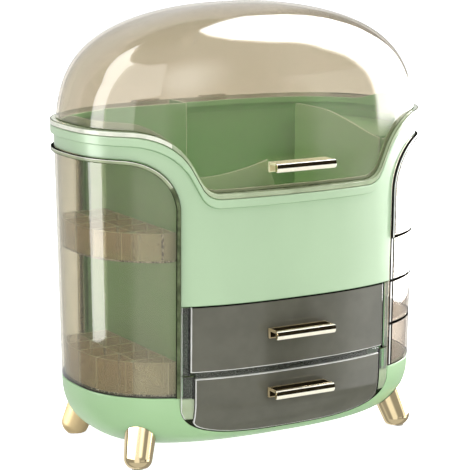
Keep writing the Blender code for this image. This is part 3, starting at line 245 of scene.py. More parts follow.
def metal(name, colour, rough, brushed=0.0, dull=0.06):
    """Plated metal with faint polishing lines, smudges and sharp edges brightened with a painted highlight."""
    mat, n = blank(name)
    plain = stretched(n, (1, 1, 1))
    lines = n.noise(stretched(n, (30, 900, 900)), 1.0, 2.0, 0.5)
    smudge = n.noise(plain, 45.0, 4.0, 0.6)
    edge_sharpness = n.tree.nodes.new("ShaderNodeNewGeometry").outputs["Pointiness"]
    edge = n.span(edge_sharpness, 0.53, 0.63)
    base = n.mix(n.span(smudge, 0.3, 0.75), rgba(colour, 1.02), rgba(colour, 1.0 - dull))
    # painted highlight on sharp edges
    base = n.mix(n.math("MULTIPLY", edge, 0.4), base, rgba([0.4 + 0.6 * c for c in colour]))
    gloss = n.math("ADD", n.span(smudge, 0.3, 0.7, rough * 0.8, rough * 1.35), n.math("MULTIPLY", lines, 0.03 + brushed))
    bump = n.add("ShaderNodeBump", Strength=0.008 + brushed, Distance=0.008 * MM, Height=lines)
    shader = n.add("ShaderNodeBsdfPrincipled", Base_Color=base, Roughness=gloss, Normal=bump.outputs[0])
    shader.inputs["Metallic"].default_value = 1.0
    n.add("ShaderNodeOutputMaterial", Surface=shader.outputs[0])
    return mat


def soft_rubber(name, colour):
    mat, n = blank(name)
    plain = stretched(n, (1, 1, 1))
    pores = n.noise(plain, 650.0, 3.0, 0.65)
    dust = n.noise(plain, 90.0, 3.0)
    base = n.mix(n.span(dust, 0.45, 0.75, 0.0, 0.35), rgba(colour), (0.6, 0.58, 0.52, 1.0))
    bump = n.add("ShaderNodeBump", Strength=0.25, Distance=0.06 * MM, Height=pores)
    shader = n.add("ShaderNodeBsdfPrincipled", Base_Color=base, Roughness=n.span(pores, 0.3, 0.7, 0.7, 0.9), Normal=bump.outputs[0])
    n.add("ShaderNodeOutputMaterial", Surface=shader.outputs[0])
    return mat


def glint_specks_painted(name):
    """Painted glints: a cut edge of clear plastic drawn as specks of painted light and dark."""
    mat, n = blank(name)
    plain = stretched(n, (1, 1, 0.6))
    grains = n.noise(plain, 620.0, 3.0, 0.7)
    tone = n.mix(n.span(grains, 0.44, 0.56), (0.03, 0.03, 0.025, 1.0), (0.9, 0.86, 0.76, 1.0))
    bump = n.add("ShaderNodeBump", Strength=0.3, Distance=0.1 * MM, Height=grains)
    shader = n.add("ShaderNodeBsdfPrincipled", Base_Color=tone, Roughness=n.span(grains, 0.3, 0.7, 0.1, 0.35), Normal=bump.outputs[0])
    n.add("ShaderNodeOutputMaterial", Surface=shader.outputs[0])
    return mat


def painted_dark_matte(name, colour):
    """A painted dark line or face without any gloss, standing in for the dark reflection and shade that a clear
    moulding's edge or a gold plate shows.
    """
    mat, n = blank(name)
    plain = stretched(n, (1, 1, 1))
    streak = n.noise(plain, 150.0, 3.0, 0.6)
    base = n.mix(n.span(streak, 0.3, 0.7), rgba(colour, 0.7), rgba(colour, 1.5))
    bump = n.add("ShaderNodeBump", Strength=0.1, Distance=0.02 * MM, Height=streak)
    shader = n.add("ShaderNodeBsdfPrincipled", Base_Color=base, Roughness=n.span(streak, 0.3, 0.7, 0.7, 0.85), Normal=bump.outputs[0])
    shader.inputs["Specular IOR Level"].default_value = 0.0
    n.add("ShaderNodeOutputMaterial", Surface=shader.outputs[0])
    return mat


# painted glints of light and dark for the cut edges of the racks
GLINTS_PAINTED = glint_specks_painted("cut_edge_sparkle")
GREEN = moulded("moulded_green", (0.458, 0.632, 0.402), 0.34, coat=0.3)
# painted light: a brighter, greener copy of the green for the inside faces
GREEN_INSIDE_LIT = moulded("moulded_green_inner", (0.36, 0.74, 0.33), 0.36, coat=0.15)
# painted light: a lighter copy of the green for the partitions facing the light
GREEN_LIT = moulded("moulded_green_partition", (0.66, 1.0, 0.58), 0.36, coat=0.15)
BEIGE = see_through("champagne_clear", (0.79, 0.755, 0.69), (0.70, 0.62, 0.46), 0.05)
DOOR_CLEAR = see_through("champagne_door", (0.755, 0.73, 0.655), (0.70, 0.64, 0.50), 0.05)
TRAY_CLEAR = see_through("champagne_tray", (0.90, 0.875, 0.83), (0.80, 0.70, 0.60), 0.06)
RACK = see_through("rosy_brown_clear", (0.965, 0.935, 0.88), (0.90, 0.76, 0.52), 0.16, 0.05)
TRAY_TAN = see_through("rosy_brown_tray", (0.93, 0.895, 0.85), (0.66, 0.57, 0.49), 0.16, 0.05)
RACK_PALE = see_through("olive_brown_clear", (0.96, 0.955, 0.90), (0.98, 0.92, 0.68), 0.26, 0.05)
# painted highlight on the top edges of the racks' cell walls
RACK_RIM_HIGHLIGHT = see_through("rack_rim", (0.96, 0.93, 0.87), (1.0, 0.95, 0.80), 0.8, 0.08)
FLANGE = see_through("flange_clear", (0.95, 0.96, 0.9), (0.78, 0.90, 0.62), 0.45, 0.04, 1.3)
FLANGE_MID = see_through("flange_middle", (0.93, 0.93, 0.86), (0.62, 0.70, 0.46), 0.55, 0.05, 1.3)
# painted highlight band on the flanges
FLANGE_PAINTED_HIGHLIGHT = see_through("flange_glow", (0.95, 0.94, 0.9), (0.97, 1.0, 0.84), 0.85, 0.05)
# painted dark lines, near black and dark olive, standing in for the dark reflections and shade on rims and edges
EDGE_PAINTED_DARK = painted_dark_matte("edge_shadow", (0.012, 0.012, 0.010))
EDGE_PAINTED_OLIVE = painted_dark_matte("edge_olive", (0.10, 0.125, 0.065))
# painted highlight lines on edges
EDGE_PAINTED_HIGHLIGHT = see_through("edge_glow", (0.96, 0.95, 0.92), (0.97, 0.97, 0.91), 0.8, 0.06)
SMOKE = see_through("smoke_clear", (0.86, 0.855, 0.81), (0.33, 0.325, 0.26), 0.20, 0.04)
SMOKE_FRONT = see_through("smoke_front", (0.46, 0.46, 0.42), (0.168, 0.165, 0.128), 0.72, 0.035, cloud=0.04)
CLEAR = see_through("water_clear", (0.97, 0.98, 0.965), (0.62, 0.66, 0.58), 0.04, 0.03)
CLEAR_GREEN = see_through("water_clear_low", (0.93, 0.97, 0.91), (0.66, 0.78, 0.52), 0.5, 0.05)
GOLD = metal("pale_gold_plate", (0.88, 0.72, 0.43), 0.05)
# painted highlight for the pulls' lips
GOLD_PAINTED_HIGHLIGHT = moulded("pale_gold_rim", (1.0, 0.93, 0.76), 0.3, coat=0.6)
# painted shade: a darker, rougher copy of the gold for the rear feet
GOLD_SATIN_SHADED = metal("satin_gold_plate", (0.70, 0.55, 0.30), 0.42)
# painted dark reflection: the pulls' dark stripe and the drawer pulls' plate
GOLD_PAINTED_DARK = painted_dark_matte("shaded_gold", (0.016, 0.012, 0.006))
# painted reflection: the border lines round the drawer pulls' plates
GOLD_PAINTED_LINE = moulded("gold_border", (0.42, 0.32, 0.15), 0.3, coat=0.5)
GREEN_BASE = moulded("moulded_green_base", (0.405, 0.645, 0.335), 0.34, coat=0.3)
# painted reflection: the lid pull's pale plate and its paler border
WEB_PAINTED_PALE = moulded("pale_gold_web", (0.74, 0.67, 0.37), 0.3, coat=0.5)
WEB_PAINTED_LINE = moulded("pale_gold_web_rim", (0.95, 0.91, 0.56), 0.3, coat=0.5)
# painted highlight on the partitions' edges
GREEN_PAINTED_HIGHLIGHT = moulded("moulded_green_rim", (0.80, 1.0, 0.72), 0.3, coat=0.4)
# painted shade under the ring's step and along the shell's lower edge
GREEN_PAINTED_SHADE = moulded("moulded_green_step", (0.24, 0.40, 0.21), 0.4, coat=0.1)
STEEL = metal("zinc_steel", (0.62, 0.62, 0.60), 0.28, 0.03)
RUBBER = soft_rubber("pale_rubber", (0.78, 0.74, 0.63))


# ------------------------------------------------------------------ mesh tools
class Shape:
    """Points and faces in millimetres."""

    def __init__(self):
        self.points, self.faces, self.tags = [], [], {}

    def row(self, points):
        start = len(self.points)
        self.points += [tuple(p) for p in points]
        return list(range(start, start + len(points)))

    def skin(self, loops, cyclic=True, close=False, caps=True, tag=None):
        """Faces between rows of points. cyclic joins the ends of each row, close
        joins the last row to the first, caps fills the first and last rows. tag
        gives the material number of the face at (row, column)."""
        rows = [self.row(loop) for loop in loops]
        count = len(rows[0])
        pairs = list(zip(rows, rows[1:])) + ([(rows[-1], rows[0])] if close else [])
        for k, (low, high) in enumerate(pairs):
            for i in range(count if cyclic else count - 1):
                j = (i + 1) % count
                number = tag(k, i) if tag else 0
                if number:
                    self.tags[len(self.faces)] = number
                self.faces.append((low[i], low[j], high[j], high[i]))
        if caps and not close:
            self.faces.append(tuple(reversed(rows[0])))
            self.faces.append(tuple(rows[-1]))
        return rows

    def tube(self, start, end, radius, bore=0.0, sides=40, round_edge=0.3):
        """A straight bar, or a tube where bore is set, with eased edges."""
        start, end = Vector(start), Vector(end)
        axis = (end - start).normalized()
        side = axis.orthogonal().normalized()
        other = axis.cross(side)
        length = (end - start).length
        e = min(round_edge, radius * 0.4)
        ring = [(radius - e, 0.0), (radius - 0.3 * e, 0.3 * e), (radius, e), (radius, length - e),
                (radius - 0.3 * e, length - 0.3 * e), (radius - e, length)]
        if bore:
            ring += [(bore, length), (bore, 0.0)]
        loops = []
        for r, h in ring:
            loops.append([start + axis * h + (side * math.cos(a) + other * math.sin(a)) * r
                          for a in [2 * math.pi * i / sides for i in range(sides)]])
        self.skin(loops, close=bool(bore), caps=not bore)

    def box(self, low, high, ease=0.4, steps=2, frame=0.0, number=0):
        """A block with rounded edges. frame sets off a border on its large faces,
        whose middles get the material number."""
        bm = bmesh.new()
        size = [h - l for l, h in zip(low, high)]
        mid = [(h + l) / 2 for l, h in zip(low, high)]
        bmesh.ops.create_cube(bm, size=1.0, matrix=Matrix.Translation(mid) @ Matrix.Diagonal((*size, 1.0)))
        bmesh.ops.bevel(bm, geom=list(bm.edges), offset=ease, segments=steps, profile=0.5, affect="EDGES")
        if frame:
            bm.normal_update()
            large = [f for f in bm.faces if max(abs(c) for c in f.normal) > 0.999 and f.calc_area() > 60.0]
            bmesh.ops.inset_individual(bm, faces=large, thickness=frame)
            middles = set(large)
            for index, face in enumerate(bm.faces):
                if face in middles:
                    self.tags[len(self.faces) + index] = number
        self.take(bm)

    def take(self, bm):
        start = len(self.points)
        bm.verts.index_update()
        self.points += [tuple(v.co) for v in bm.verts]
        self.faces += [tuple(start + v.index for v in f.verts) for f in bm.faces]
        bm.free()

    def sweep(self, path, section, closed=False, tag=None):
        """section, a closed loop of (out, across), carried along path, whose
        entries are (point, out direction, across direction, out scale)."""
        loops = []
        for p, out, across, k in path:
            loops.append([Vector(p) + Vector(out) * u * k + Vector(across) * v for u, v in section])
        self.skin(loops, close=closed, caps=not closed, tag=tag)


def rounded(points, radius, steps=4):
    """A closed 2-D outline with its corners rounded. radius is one number or one
    for each corner."""
    out = []
    count = len(points)
    for i, p in enumerate(points):
        r = radius[i] if isinstance(radius, (list, tuple)) else radius
        p = Vector(p)
        a, b = Vector(points[i - 1]) - p, Vector(points[(i + 1) % count]) - p
        if r <= 0 or a.length < 1e-6 or b.length < 1e-6:
            out.append(tuple(p))
            continue
        half = math.acos(max(-1.0, min(1.0, a.normalized().dot(b.normalized())))) / 2
        if half > math.radians(88):
            out.append(tuple(p))
            continue
        cut = min(r / math.tan(half), 0.48 * a.length, 0.48 * b.length)
        start, end = p + a.normalized() * cut, p + b.normalized() * cut
        for k in range(steps + 1):
            t = k / steps
            out.append(tuple((1 - t) ** 2 * start + 2 * t * (1 - t) * p + t * t * end))
    return out


def is_inner(centre, normal, size):
    """Whether a face of the oval body looks towards its inside."""
    return normal.x * centre.x * 0.6 + normal.y * centre.y < -0.02 * math.hypot(centre.x, centre.y)


def finish_mesh(name, shape, material, body, nodes=(), angle=38.0, others=(), rule=None):
    """The piece as an object that replaces its nodes. others are materials 1, 2
    and on, for the faces that carry a tag or that rule(centre, normal, area), in
    millimetres, numbers."""
    mesh = bpy.data.meshes.new(name)
    mesh.from_pydata([(x * MM, (y + Y_CENTRE) * MM, z * MM) for x, y, z in shape.points], [], shape.faces)
    for number in range(1 + len(others)):
        mesh.materials.append((material, *others)[number])
    for index, number in shape.tags.items():
        mesh.polygons[index].material_index = number
    bm = bmesh.new()
    bm.from_mesh(mesh)
    bmesh.ops.remove_doubles(bm, verts=bm.verts, dist=2e-7)
    bmesh.ops.dissolve_degenerate(bm, edges=bm.edges, dist=1e-7)
    bmesh.ops.recalc_face_normals(bm, faces=bm.faces)
    bm.to_mesh(mesh)
    bm.free()
    mesh.shade_smooth()
    mesh.set_sharp_from_angle(angle=math.radians(angle))
    if rule:
        for face in mesh.polygons:
            if not face.material_index:
                centre = face.center / MM
                centre.y -= Y_CENTRE
                face.material_index = int(rule(centre, face.normal, face.area / MM**2))
    obj = bpy.data.objects.new(name, mesh)
    bpy.context.scene.collection.objects.link(obj)
    even = obj.modifiers.new("even_normals", "WEIGHTED_NORMAL")
    even.keep_sharp = True
    even.weight = 60
    if nodes:
        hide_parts(*nodes)
    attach(obj, body)
    return obj


def outline_solid(outlines, z0, z1, ease, to_world=None):
    """A flat solid from 2-D outlines, the first its edge and the others holes,
    with rounded rims, as a Shape. to_world maps (u, v, w) to a point."""
    curve = bpy.data.curves.new("outline", "CURVE")
    curve.dimensions = "2D"
    curve.fill_mode = "BOTH"
    curve.extrude = ((z1 - z0) / 2 - ease) * MM
    curve.bevel_depth = ease * MM
    curve.bevel_resolution = 1
    curve.offset = -ease * MM
    for outline in outlines:
        spline = curve.splines.new("POLY")
        spline.points.add(len(outline) - 1)
        for point, (x, y) in zip(spline.points, outline):
            point.co = (x * MM, y * MM, 0.0, 1.0)
        spline.use_cyclic_u = True
    helper = bpy.data.objects.new("outline", curve)
    bpy.context.scene.collection.objects.link(helper)
    bpy.context.view_layer.update()
    mesh = bpy.data.meshes.new_from_object(helper.evaluated_get(bpy.context.evaluated_depsgraph_get()))
    shape = Shape()
    mid = (z0 + z1) / 2
    for v in mesh.vertices:
        u, w, h = v.co.x / MM, v.co.y / MM, v.co.z / MM + mid
        shape.points.append(to_world(u, w, h) if to_world else (u, w, h))
    shape.faces = [tuple(p.vertices) for p in mesh.polygons]
    bpy.data.objects.remove(helper)
    bpy.data.curves.remove(curve)
    bpy.data.meshes.remove(mesh)
    return shape


# ------------------------------------------------------------------ form rules
def power(value, exponent):
    return math.copysign(abs(value) ** exponent, value)


def shrink(off, z):
    return off - DRAFT * (z - Z_MID)


def body_at(station, off, z):
    """A point of the oval body's wall, off millimetres inside it, at height z.
    A station is ('x', x, side) or ('t', angle)."""
    o = shrink(off, z)
    a, b = PLAN_A - o, PLAN_B - o
    if station[0] == "x":
        x = station[1]
        y = b * max(0.0, 1.0 - (abs(x) / a) ** PLAN_N) ** (1.0 / PLAN_N)
        return x, station[2] * y
    c, s = math.cos(station[1]), math.sin(station[1])
    return a * power(c, 2.0 / PLAN_N), b * power(s, 2.0 / PLAN_N)


def dome_scale(z):
    t = min(1.0, max(0.0, (z - DOME_Z0) / DOME_H))
    return (1.0 - t**DOME_M1) ** (1.0 / DOME_M2)


def dome_at(station, off, z, scale=None, rim=1.0):
    s0 = dome_scale(z) if scale is None else scale
    a, b = DOME_A * s0 - off, DOME_B * s0 - off
    if station[0] == "x":
        x = station[1] * s0 / rim
        y = b * max(0.0, 1.0 - (abs(x) / a) ** DOME_N) ** (1.0 / DOME_N)
        return x, station[2] * y
    c, s = math.cos(station[1]), math.sin(station[1])
    return a * power(c, 2.0 / DOME_N), b * power(s, 2.0 / DOME_N)


def dome_low(station, off, z):
    return dome_at(station, off, z, None, dome_scale(z))


def bowl_off(z):
    """How far the base bowl lies inside its rim at height z."""
    t = min(1.0, max(0.0, (Z_BASE - z) / (Z_BASE - Z_BOTTOM)))
    return BOWL_OFF * (1.0 - (1.0 - t**BOWL_M1) ** BOWL_M2)


def bowl_at(station, off, z):
    if station[0] == "t":
        return body_at(station, off, z)
    scale = (PLAN_A - shrink(off, z)) / (PLAN_A - shrink(0.0, Z_BASE))
    return body_at(("x", station[1] * scale, station[2]), off, z)


def dip_profile():
    """Height lost by the parting line, as a function of |x|."""
    sa, ca = math.sin(DIP_ANGLE), math.cos(DIP_ANGLE)
    straight = (DIP - (DIP_R_LOW + DIP_R_HIGH) * (1 - ca)) / sa
    x1 = DIP_FLAT + DIP_R_LOW * sa
    x2 = x1 + straight * ca
    x3 = x2 + DIP_R_HIGH * sa
    rise1 = DIP_R_LOW * (1 - ca)

    def rise(x):
        x = abs(x)
        if x <= DIP_FLAT:
            return 0.0
        if x <= x1:
            return DIP_R_LOW - math.sqrt(DIP_R_LOW**2 - (x - DIP_FLAT) ** 2)
        if x <= x2:
            return rise1 + (x - x1) * sa / ca
        if x < x3:
            return DIP - DIP_R_HIGH + math.sqrt(DIP_R_HIGH**2 - (x3 - x) ** 2)
        return DIP

    return rise


RISE = dip_profile()


def is_front(station):
    return station[2] < 0 if station[0] == "x" else math.sin(station[1]) < -1e-9


def parting(station):
    if not is_front(station):
        return Z_PART
    return Z_PART - DIP + RISE(body_at(station, 0.0, Z_PART)[0])


def collar(station):
    """Height of the body's collar inside the lid: raised at the front corners,
    low behind."""
    x, y = body_at(station, 0.0, Z_PART)
    if not is_front(station):
        u = min(1.0, y / 44.0)
        return 10.0 + (2.0 - 10.0) * u * u * (3 - 2 * u)
    end = min(1.0, max(0.0, (abs(x) - 100.0) / 25.0))
    return 6.6 + 3.4 * end * end * (3 - 2 * end)


def arch(x):
    """Lower edge of the shell over a side opening, for |x| past the panel."""
    x = abs(x)
    if x >= ARCH_X:
        return Z_DOOR
    u = min(1.0, (ARCH_X - x) / ARCH_RX)
    return ARCH_Z + ARCH_RZ * math.sqrt(max(0.0, 1.0 - u * u))


def arch_xs(shift=0.0, steps=26):
    """x positions along the arch, dense where it is steep."""
    xs = []
    low = math.acos(min(1.0, (ARCH_X - 95.6) / ARCH_RX))
    for i in range(steps + 1):
        a = low + (math.pi / 2 - low) * i / steps
        xs.append(ARCH_X - ARCH_RX * math.cos(a) + shift)
    return xs


def steps_between(a, b, step):
    count = max(1, int(round(abs(b - a) / step)))
    return [a + (b - a) * i / count for i in range(count + 1)]


FRONT_IN = [x for x in steps_between(0.0, 95.35, 1.9)][1:]
FRONT_OUT = arch_xs()
END_T = [math.radians(a) for a in steps_between(-27.0, 33.0, 2.0)]
REAR_X = [x for x in steps_between(127.0, 104.6, 2.0)] + steps_between(104.3, 0.0, 2.6)[:-1]


def mirror(station):
    if station[0] == "x":
        return ("x", -station[1], station[2])
    return ("t", math.pi - station[1])


def ring_of(front_xs):
    half = [("x", x, -1) for x in front_xs]
    half += [("t", a) for a in END_T]
    half += [("x", x, 1) for x in REAR_X]
    return [("x", 0.0, -1)] + half + [("x", 0.0, 1)] + [mirror(s) for s in reversed(half)]


AROUND = ring_of(FRONT_IN + FRONT_OUT)


def loop_of(place, stations, off, height):
    points = []
    for s in stations:
        z = height(s) if callable(height) else height
        o = off(s) if callable(off) else off
        x, y = place(s, o, z)
        points.append((x, y, z))
    return points


def shift(rule, dz):
    return lambda s: rule(s) + dz


def front_y(x, z, off=0.0):
    base = bowl_off(z) if z < Z_BASE else 0.0
    return body_at(("x", x, -1), base + off, z)[1]


# ------------------------------------------------------------------ base bowl
def cut_line(x):
    """Lower edge of the drawer opening in the bowl's front wall."""
    u = min(1.0, abs(x) / CUT_X)
    return Z_BASE - CUT_H * max(0.0, 1 - u**CUT_N) ** (1 / CUT_N)


def make_bowl():
    inner_xs = [CUT_X * math.sin(math.pi / 2 * i / 46) ** 0.9 for i in range(1, 47)]
    stations = ring_of(inner_xs + steps_between(96.8, 132.0, 2.4))

    def top(s, off):
        if s[0] != "x" or s[2] > 0 or abs(s[1]) > CUT_X + 0.01:
            return Z_BASE
        z = cut_line(s[1])
        for _ in range(30):
            z = 0.5 * z + 0.5 * cut_line(bowl_at(s, bowl_off(z) + off, z)[0])
        return z

    def level(t, off, lift_full):
        row = []
        for s in stations:
            zt = top(s, off)
            z = Z_BOTTOM + (zt - Z_BOTTOM) * t
            f = (Z_BASE - z) / (Z_BASE - Z_BOTTOM)
            x, y = bowl_at(s, bowl_off(z) + off, z)
            row.append((x, y, z + lift_full * f))
        return row

    outer_t = [0.0, 0.004, 0.012, 0.026, 0.045, 0.07, 0.1, 0.135, 0.175, 0.22, 0.27, 0.33, 0.4, 0.48, 0.56, 0.65, 0.74, 0.83, 0.91, 0.965]
    rows = [level(t, 0.0, 0.0) for t in outer_t]

    def rim(off, drop):
        row = []
        for s in stations:
            z = top(s, off) - drop
            x, y = bowl_at(s, bowl_off(z) + off, z)
            row.append((x, y, z))
        return row

    rows += [rim(0.0, 0.7), rim(0.12, 0.3), rim(0.45, 0.06), rim(0.8, 0.0), rim(BOWL_WALL - 0.6, 0.0), rim(BOWL_WALL - 0.15, 0.2), rim(BOWL_WALL, 0.7)]
    rows += [level(t, BOWL_WALL, BOWL_WALL) for t in (0.8, 0.6, 0.42, 0.28, 0.18, 0.1, 0.04, 0.0)]
    shape = Shape()
    first = len(outer_t)

    # the rim of the drawer opening gets a painted dark line
    def tag(k, i):
        s = stations[i]
        cut = s[0] == "x" and s[2] < 0 and abs(s[1]) < CUT_X
        return 1 if first + 2 <= k <= first + 3 and cut else 0

    shape.skin(rows, tag=tag)
    for side in (-1, 1):
        shape.tube((side * PIVOT_X, PIVOT_Y, 51.0), (side * PIVOT_X, PIVOT_Y, Z_BASE), BOSS_R, BORE_R, 32, 0.25)
    return finish_mesh("bowl_moulded", shape, GREEN_BASE, "case", ["base_bowl"], 38.0, [EDGE_PAINTED_DARK])


make_bowl()


# ------------------------------------------------------------------ upper shell
def shell_bottom(s):
    x = abs(body_at(s, 0.0, Z_DOOR)[0])
    if is_front(s):
        return Z_PANEL if x < X_PANEL else arch(x)
    return Z_BASE + GAP if x < X_REAR else Z_DOOR


def make_shell():
    low = shell_bottom
    lift = lambda dz: (lambda s: parting(s) + collar(s) + dz)
    loops = [
        loop_of(body_at, AROUND, 0.6, shift(low, 0.0)),
        loop_of(body_at, AROUND, 0.15, shift(low, 0.12)),
        loop_of(body_at, AROUND, 0.0, shift(low, 0.6)),
        loop_of(body_at, AROUND, 0.0, shift(parting, -RING_H - 3.2)),
        loop_of(body_at, AROUND, 0.0, shift(parting, -RING_H - 0.35)),
        loop_of(body_at, AROUND, -0.3, shift(parting, -RING_H)),
        loop_of(body_at, AROUND, -RING_OUT + 0.7, shift(parting, -RING_H + 0.25)),
        loop_of(body_at, AROUND, -RING_OUT + 0.12, shift(parting, -RING_H + 0.7)),
        loop_of(body_at, AROUND, -RING_OUT, shift(parting, -RING_H + 1.3)),
        loop_of(body_at, AROUND, -RING_OUT, shift(parting, -1.1)),
        loop_of(body_at, AROUND, -RING_OUT + 0.14, shift(parting, -0.5)),
        loop_of(body_at, AROUND, -RING_OUT + 0.5, shift(parting, -0.12)),
        loop_of(body_at, AROUND, -RING_OUT + 1.0, parting),
        loop_of(dome_low, AROUND, LID_WALL + 0.9, parting),
        loop_of(dome_low, AROUND, LID_WALL + 0.9, lift(-0.8)),
        loop_of(dome_low, AROUND, LID_WALL + 1.1, lift(-0.3)),
        loop_of(dome_low, AROUND, LID_WALL + 1.5, lift(-0.05)),
        loop_of(dome_low, AROUND, LID_WALL + 2.4, lift(-0.05)),
        loop_of(dome_low, AROUND, LID_WALL + 2.7, lift(-0.3)),
        loop_of(dome_low, AROUND, LID_WALL + 2.8, lift(-0.8)),
        loop_of(dome_low, AROUND, LID_WALL + 2.8, shift(parting, -2.4)),
        loop_of(body_at, AROUND, 0.2, shift(parting, -2.6)),
        loop_of(body_at, AROUND, 0.6, shift(parting, -RING_H + 1.6)),
        loop_of(body_at, AROUND, SKIN, shift(parting, -RING_H - 1.2)),
        loop_of(body_at, AROUND, SKIN, shift(low, 0.5)),
        loop_of(body_at, AROUND, SKIN - 0.5, low),
    ]
    shape = Shape()
    # 1 the inside, in a brighter green that is painted light, 2 painted shade on the step under the ring and on the
    # lower edge
    def tag(k, i):
        if k in (0, 1, len(loops) - 1):
            s = AROUND[i]
            return 2 if s[0] == "x" and s[2] < 0 and abs(s[1]) < X_PANEL else 0
        return 2 if k in (4, 5) else 0

    shape.skin(loops, close=True, tag=tag)
    for side in (-1, 1):
        shape.tube((side * PIVOT_X, PIVOT_Y, 244.3), (side * PIVOT_X, PIVOT_Y, 248.6), 4.6, BORE_R, 36, 0.3)
    return finish_mesh("shell_moulded", shape, GREEN, "case", ["upper_shell"], 32.0, [GREEN_INSIDE_LIT, GREEN_PAINTED_SHADE], is_inner)


make_shell()


# ------------------------------------------------------------------ dome lid
def make_lid():
    rim_low = shift(parting, GAP)
    rim_high = shift(parting, GAP + LID_FLANGE_H)

    def rows(off, count, start):
        loops = []
        for k in range(count + 1):
            row = []
            for s in AROUND:
                z0 = start(s)
                rim = dome_scale(z0)
                t_low = max(0.02, (z0 - DOME_Z0) / DOME_H)
                a0 = math.asin(t_low ** (DOME_M1 / 2))
                a1 = math.asin(0.99995 ** (DOME_M1 / 2))
                u = k / count
                a = a0 + (a1 - a0) * u
                # heights climb evenly low on the wall and close over the crown
                t_angle = math.sin(a) ** (2 / DOME_M1)
                t_even = t_low + (1 - t_low) * (1 - (1 - u) ** 1.7)
                w = min(1.0, max(0.0, (u - 0.25) / 0.5))
                w = w * w * (3 - 2 * w)
                t = t_even * (1 - w) + t_angle * w if k < count else t_angle
                z = DOME_Z0 + (DOME_H - (off if k else 0.0)) * t
                if k == 0:
                    z = z0
                    t = (z0 - DOME_Z0) / DOME_H
                scale = (1.0 - t**DOME_M1) ** (1.0 / DOME_M2)
                x, y = dome_at(s, off * scale if k else off, z, scale, rim)
                row.append((x, y, z))
            loops.append(row)
        return loops

    outer = rows(0.0, 44, rim_high)
    inner = rows(LID_WALL, 30, rim_low)
    loops = list(reversed(inner))
    for off, dz in (
        (-LID_FLANGE_OUT + 1.0, GAP),
        (-LID_FLANGE_OUT + 0.45, GAP + 0.06),
        (-LID_FLANGE_OUT + 0.1, GAP + 0.35),
        (-LID_FLANGE_OUT, GAP + 0.9),
        (-LID_FLANGE_OUT, GAP + LID_FLANGE_H - 1.1),
        (-LID_FLANGE_OUT + 0.12, GAP + LID_FLANGE_H - 0.5),
        (-LID_FLANGE_OUT + 0.5, GAP + LID_FLANGE_H - 0.1),
        (-LID_FLANGE_OUT + 1.1, GAP + LID_FLANGE_H),
    ):
        loops.append(loop_of(body_at, AROUND, off, shift(parting, dz)))
    loops += [outer[0], loop_of(dome_low, AROUND, 0.0, shift(rim_high, 0.75))] + outer[1:]
    shape = Shape()
    # flange faces: 1 lower edge, a painted dark olive line, 2 outer face, 3 the outer face
    # at the ends, a painted highlight, 4 top edge and the line at the foot of the dome, a painted dark line
    base = len(inner)

    def tag(k, i):
        j = k - base
        if AROUND[i][0] == "x" and AROUND[i][2] > 0:
            return 3 if 0 <= j <= 8 else 0
        if j in (0, 1):
            return 1
        if j in (2, 3, 4):
            return 3 if abs(body_at(AROUND[i], 0.0, Z_PART)[0]) > 104 else 2
        if j == 6:
            return 4 if abs(body_at(AROUND[i], 0.0, Z_PART)[0]) > 112 else 1
        return 1 if j == 8 else (2 if j in (5, 7) else 0)

    shape.skin(loops, tag=tag)
    return finish_mesh("lid_clear", shape, BEIGE, "lid", ["lid_dome"], 50.0,
                       [EDGE_PAINTED_OLIVE, FLANGE, FLANGE_PAINTED_HIGHLIGHT, EDGE_PAINTED_DARK])


make_lid()


# ------------------------------------------------------------------ side door
def end_stations(side, front_shift=0.4):
    front = [("x", side * (x + front_shift), -1) for x in arch_xs()]
    end = [("t", a) if side > 0 else ("t", math.pi - a) for a in END_T]
    rear = [("x", side * x, 1) for x in steps_between(127.0, 111.4, 1.6)]
    return front + end + rear


def door_top(station):
    x = abs(body_at(station, 0.0, Z_DOOR)[0])
    if is_front(station) and x < ARCH_X + 0.4:
        return arch(x - 0.4) - 0.45
    return Z_DOOR - GAP - 0.1


def flange_share(station):
    x = abs(body_at(station, 0.0, Z_DOOR)[0])
    if is_front(station) or x > 135.0:
        return 1.0
    return min(1.0, max(0.04, (x - 112.0) / 20.0))


def rim_path(side, stations, z_low):
    """Frames along the front upright edge and the top edge of a side piece."""
    first = stations[0]
    spots = [(first, z) for z in steps_between(z_low, door_top(first) - 0.5, 6.0)]
    spots += [(s, door_top(s)) for s in stations]
    points = [Vector((*body_at(s, 0.0, z), z)) for s, z in spots]
    centre = Vector((side * 151.0, 0.0, (z_low + 244.0) / 2))
    path = []
    for i, (s, z) in enumerate(spots):
        p = points[i]
        tangent = (points[min(i + 1, len(points) - 1)] - points[max(i - 1, 0)]).normalized()
        out = (Vector((*body_at(s, -1.0, z), z)) - Vector((*body_at(s, 1.0, z), z))).normalized()
        if s[0] == "x":
            a, b = PLAN_A - shrink(0.0, z), PLAN_B - shrink(0.0, z)
            out = Vector((power(p.x / a, PLAN_N - 1) / a, power(p.y / b, PLAN_N - 1) / b, 0.0)).normalized()
        across = out.cross(tangent).normalized()
        if across.dot(centre - p) < 0:
            across.negate()
        path.append((p, out, across, flange_share(s)))
    return path


RIM_SECTION = rounded(
    [(0.03, 0.0), (1.1, 0.0), (FLANGE_OUT, 0.0), (FLANGE_OUT, 1.3), (FLANGE_OUT, FLANGE_H), (0.03, FLANGE_H)],
    [0.0, 0.0, 0.75, 0.0, 0.75, 0.0], 4)


def door_rim_tag(path):
    """1 painted dark line, 2 painted highlight, 3 painted olive line, 4 middle tone. The upright edge
    is all painted shade, the top edge has a painted dark line, a painted highlight and a duller face."""
    def tag(k, i):
        if path[k][0].z < 222.0:
            return 1 if i <= 3 or 9 <= i <= 12 else (3 if i <= 8 else 0)
        if i <= 3:
            return 1
        return 2 if i <= 5 else (4 if i <= 7 else (3 if i <= 12 else 0))
    return tag


def tray_rim_tag(k, i):
    """1 painted dark line, 2 bright face, a painted highlight."""
    if i <= 2 or 7 <= i <= 12:
        return 1
    return 2


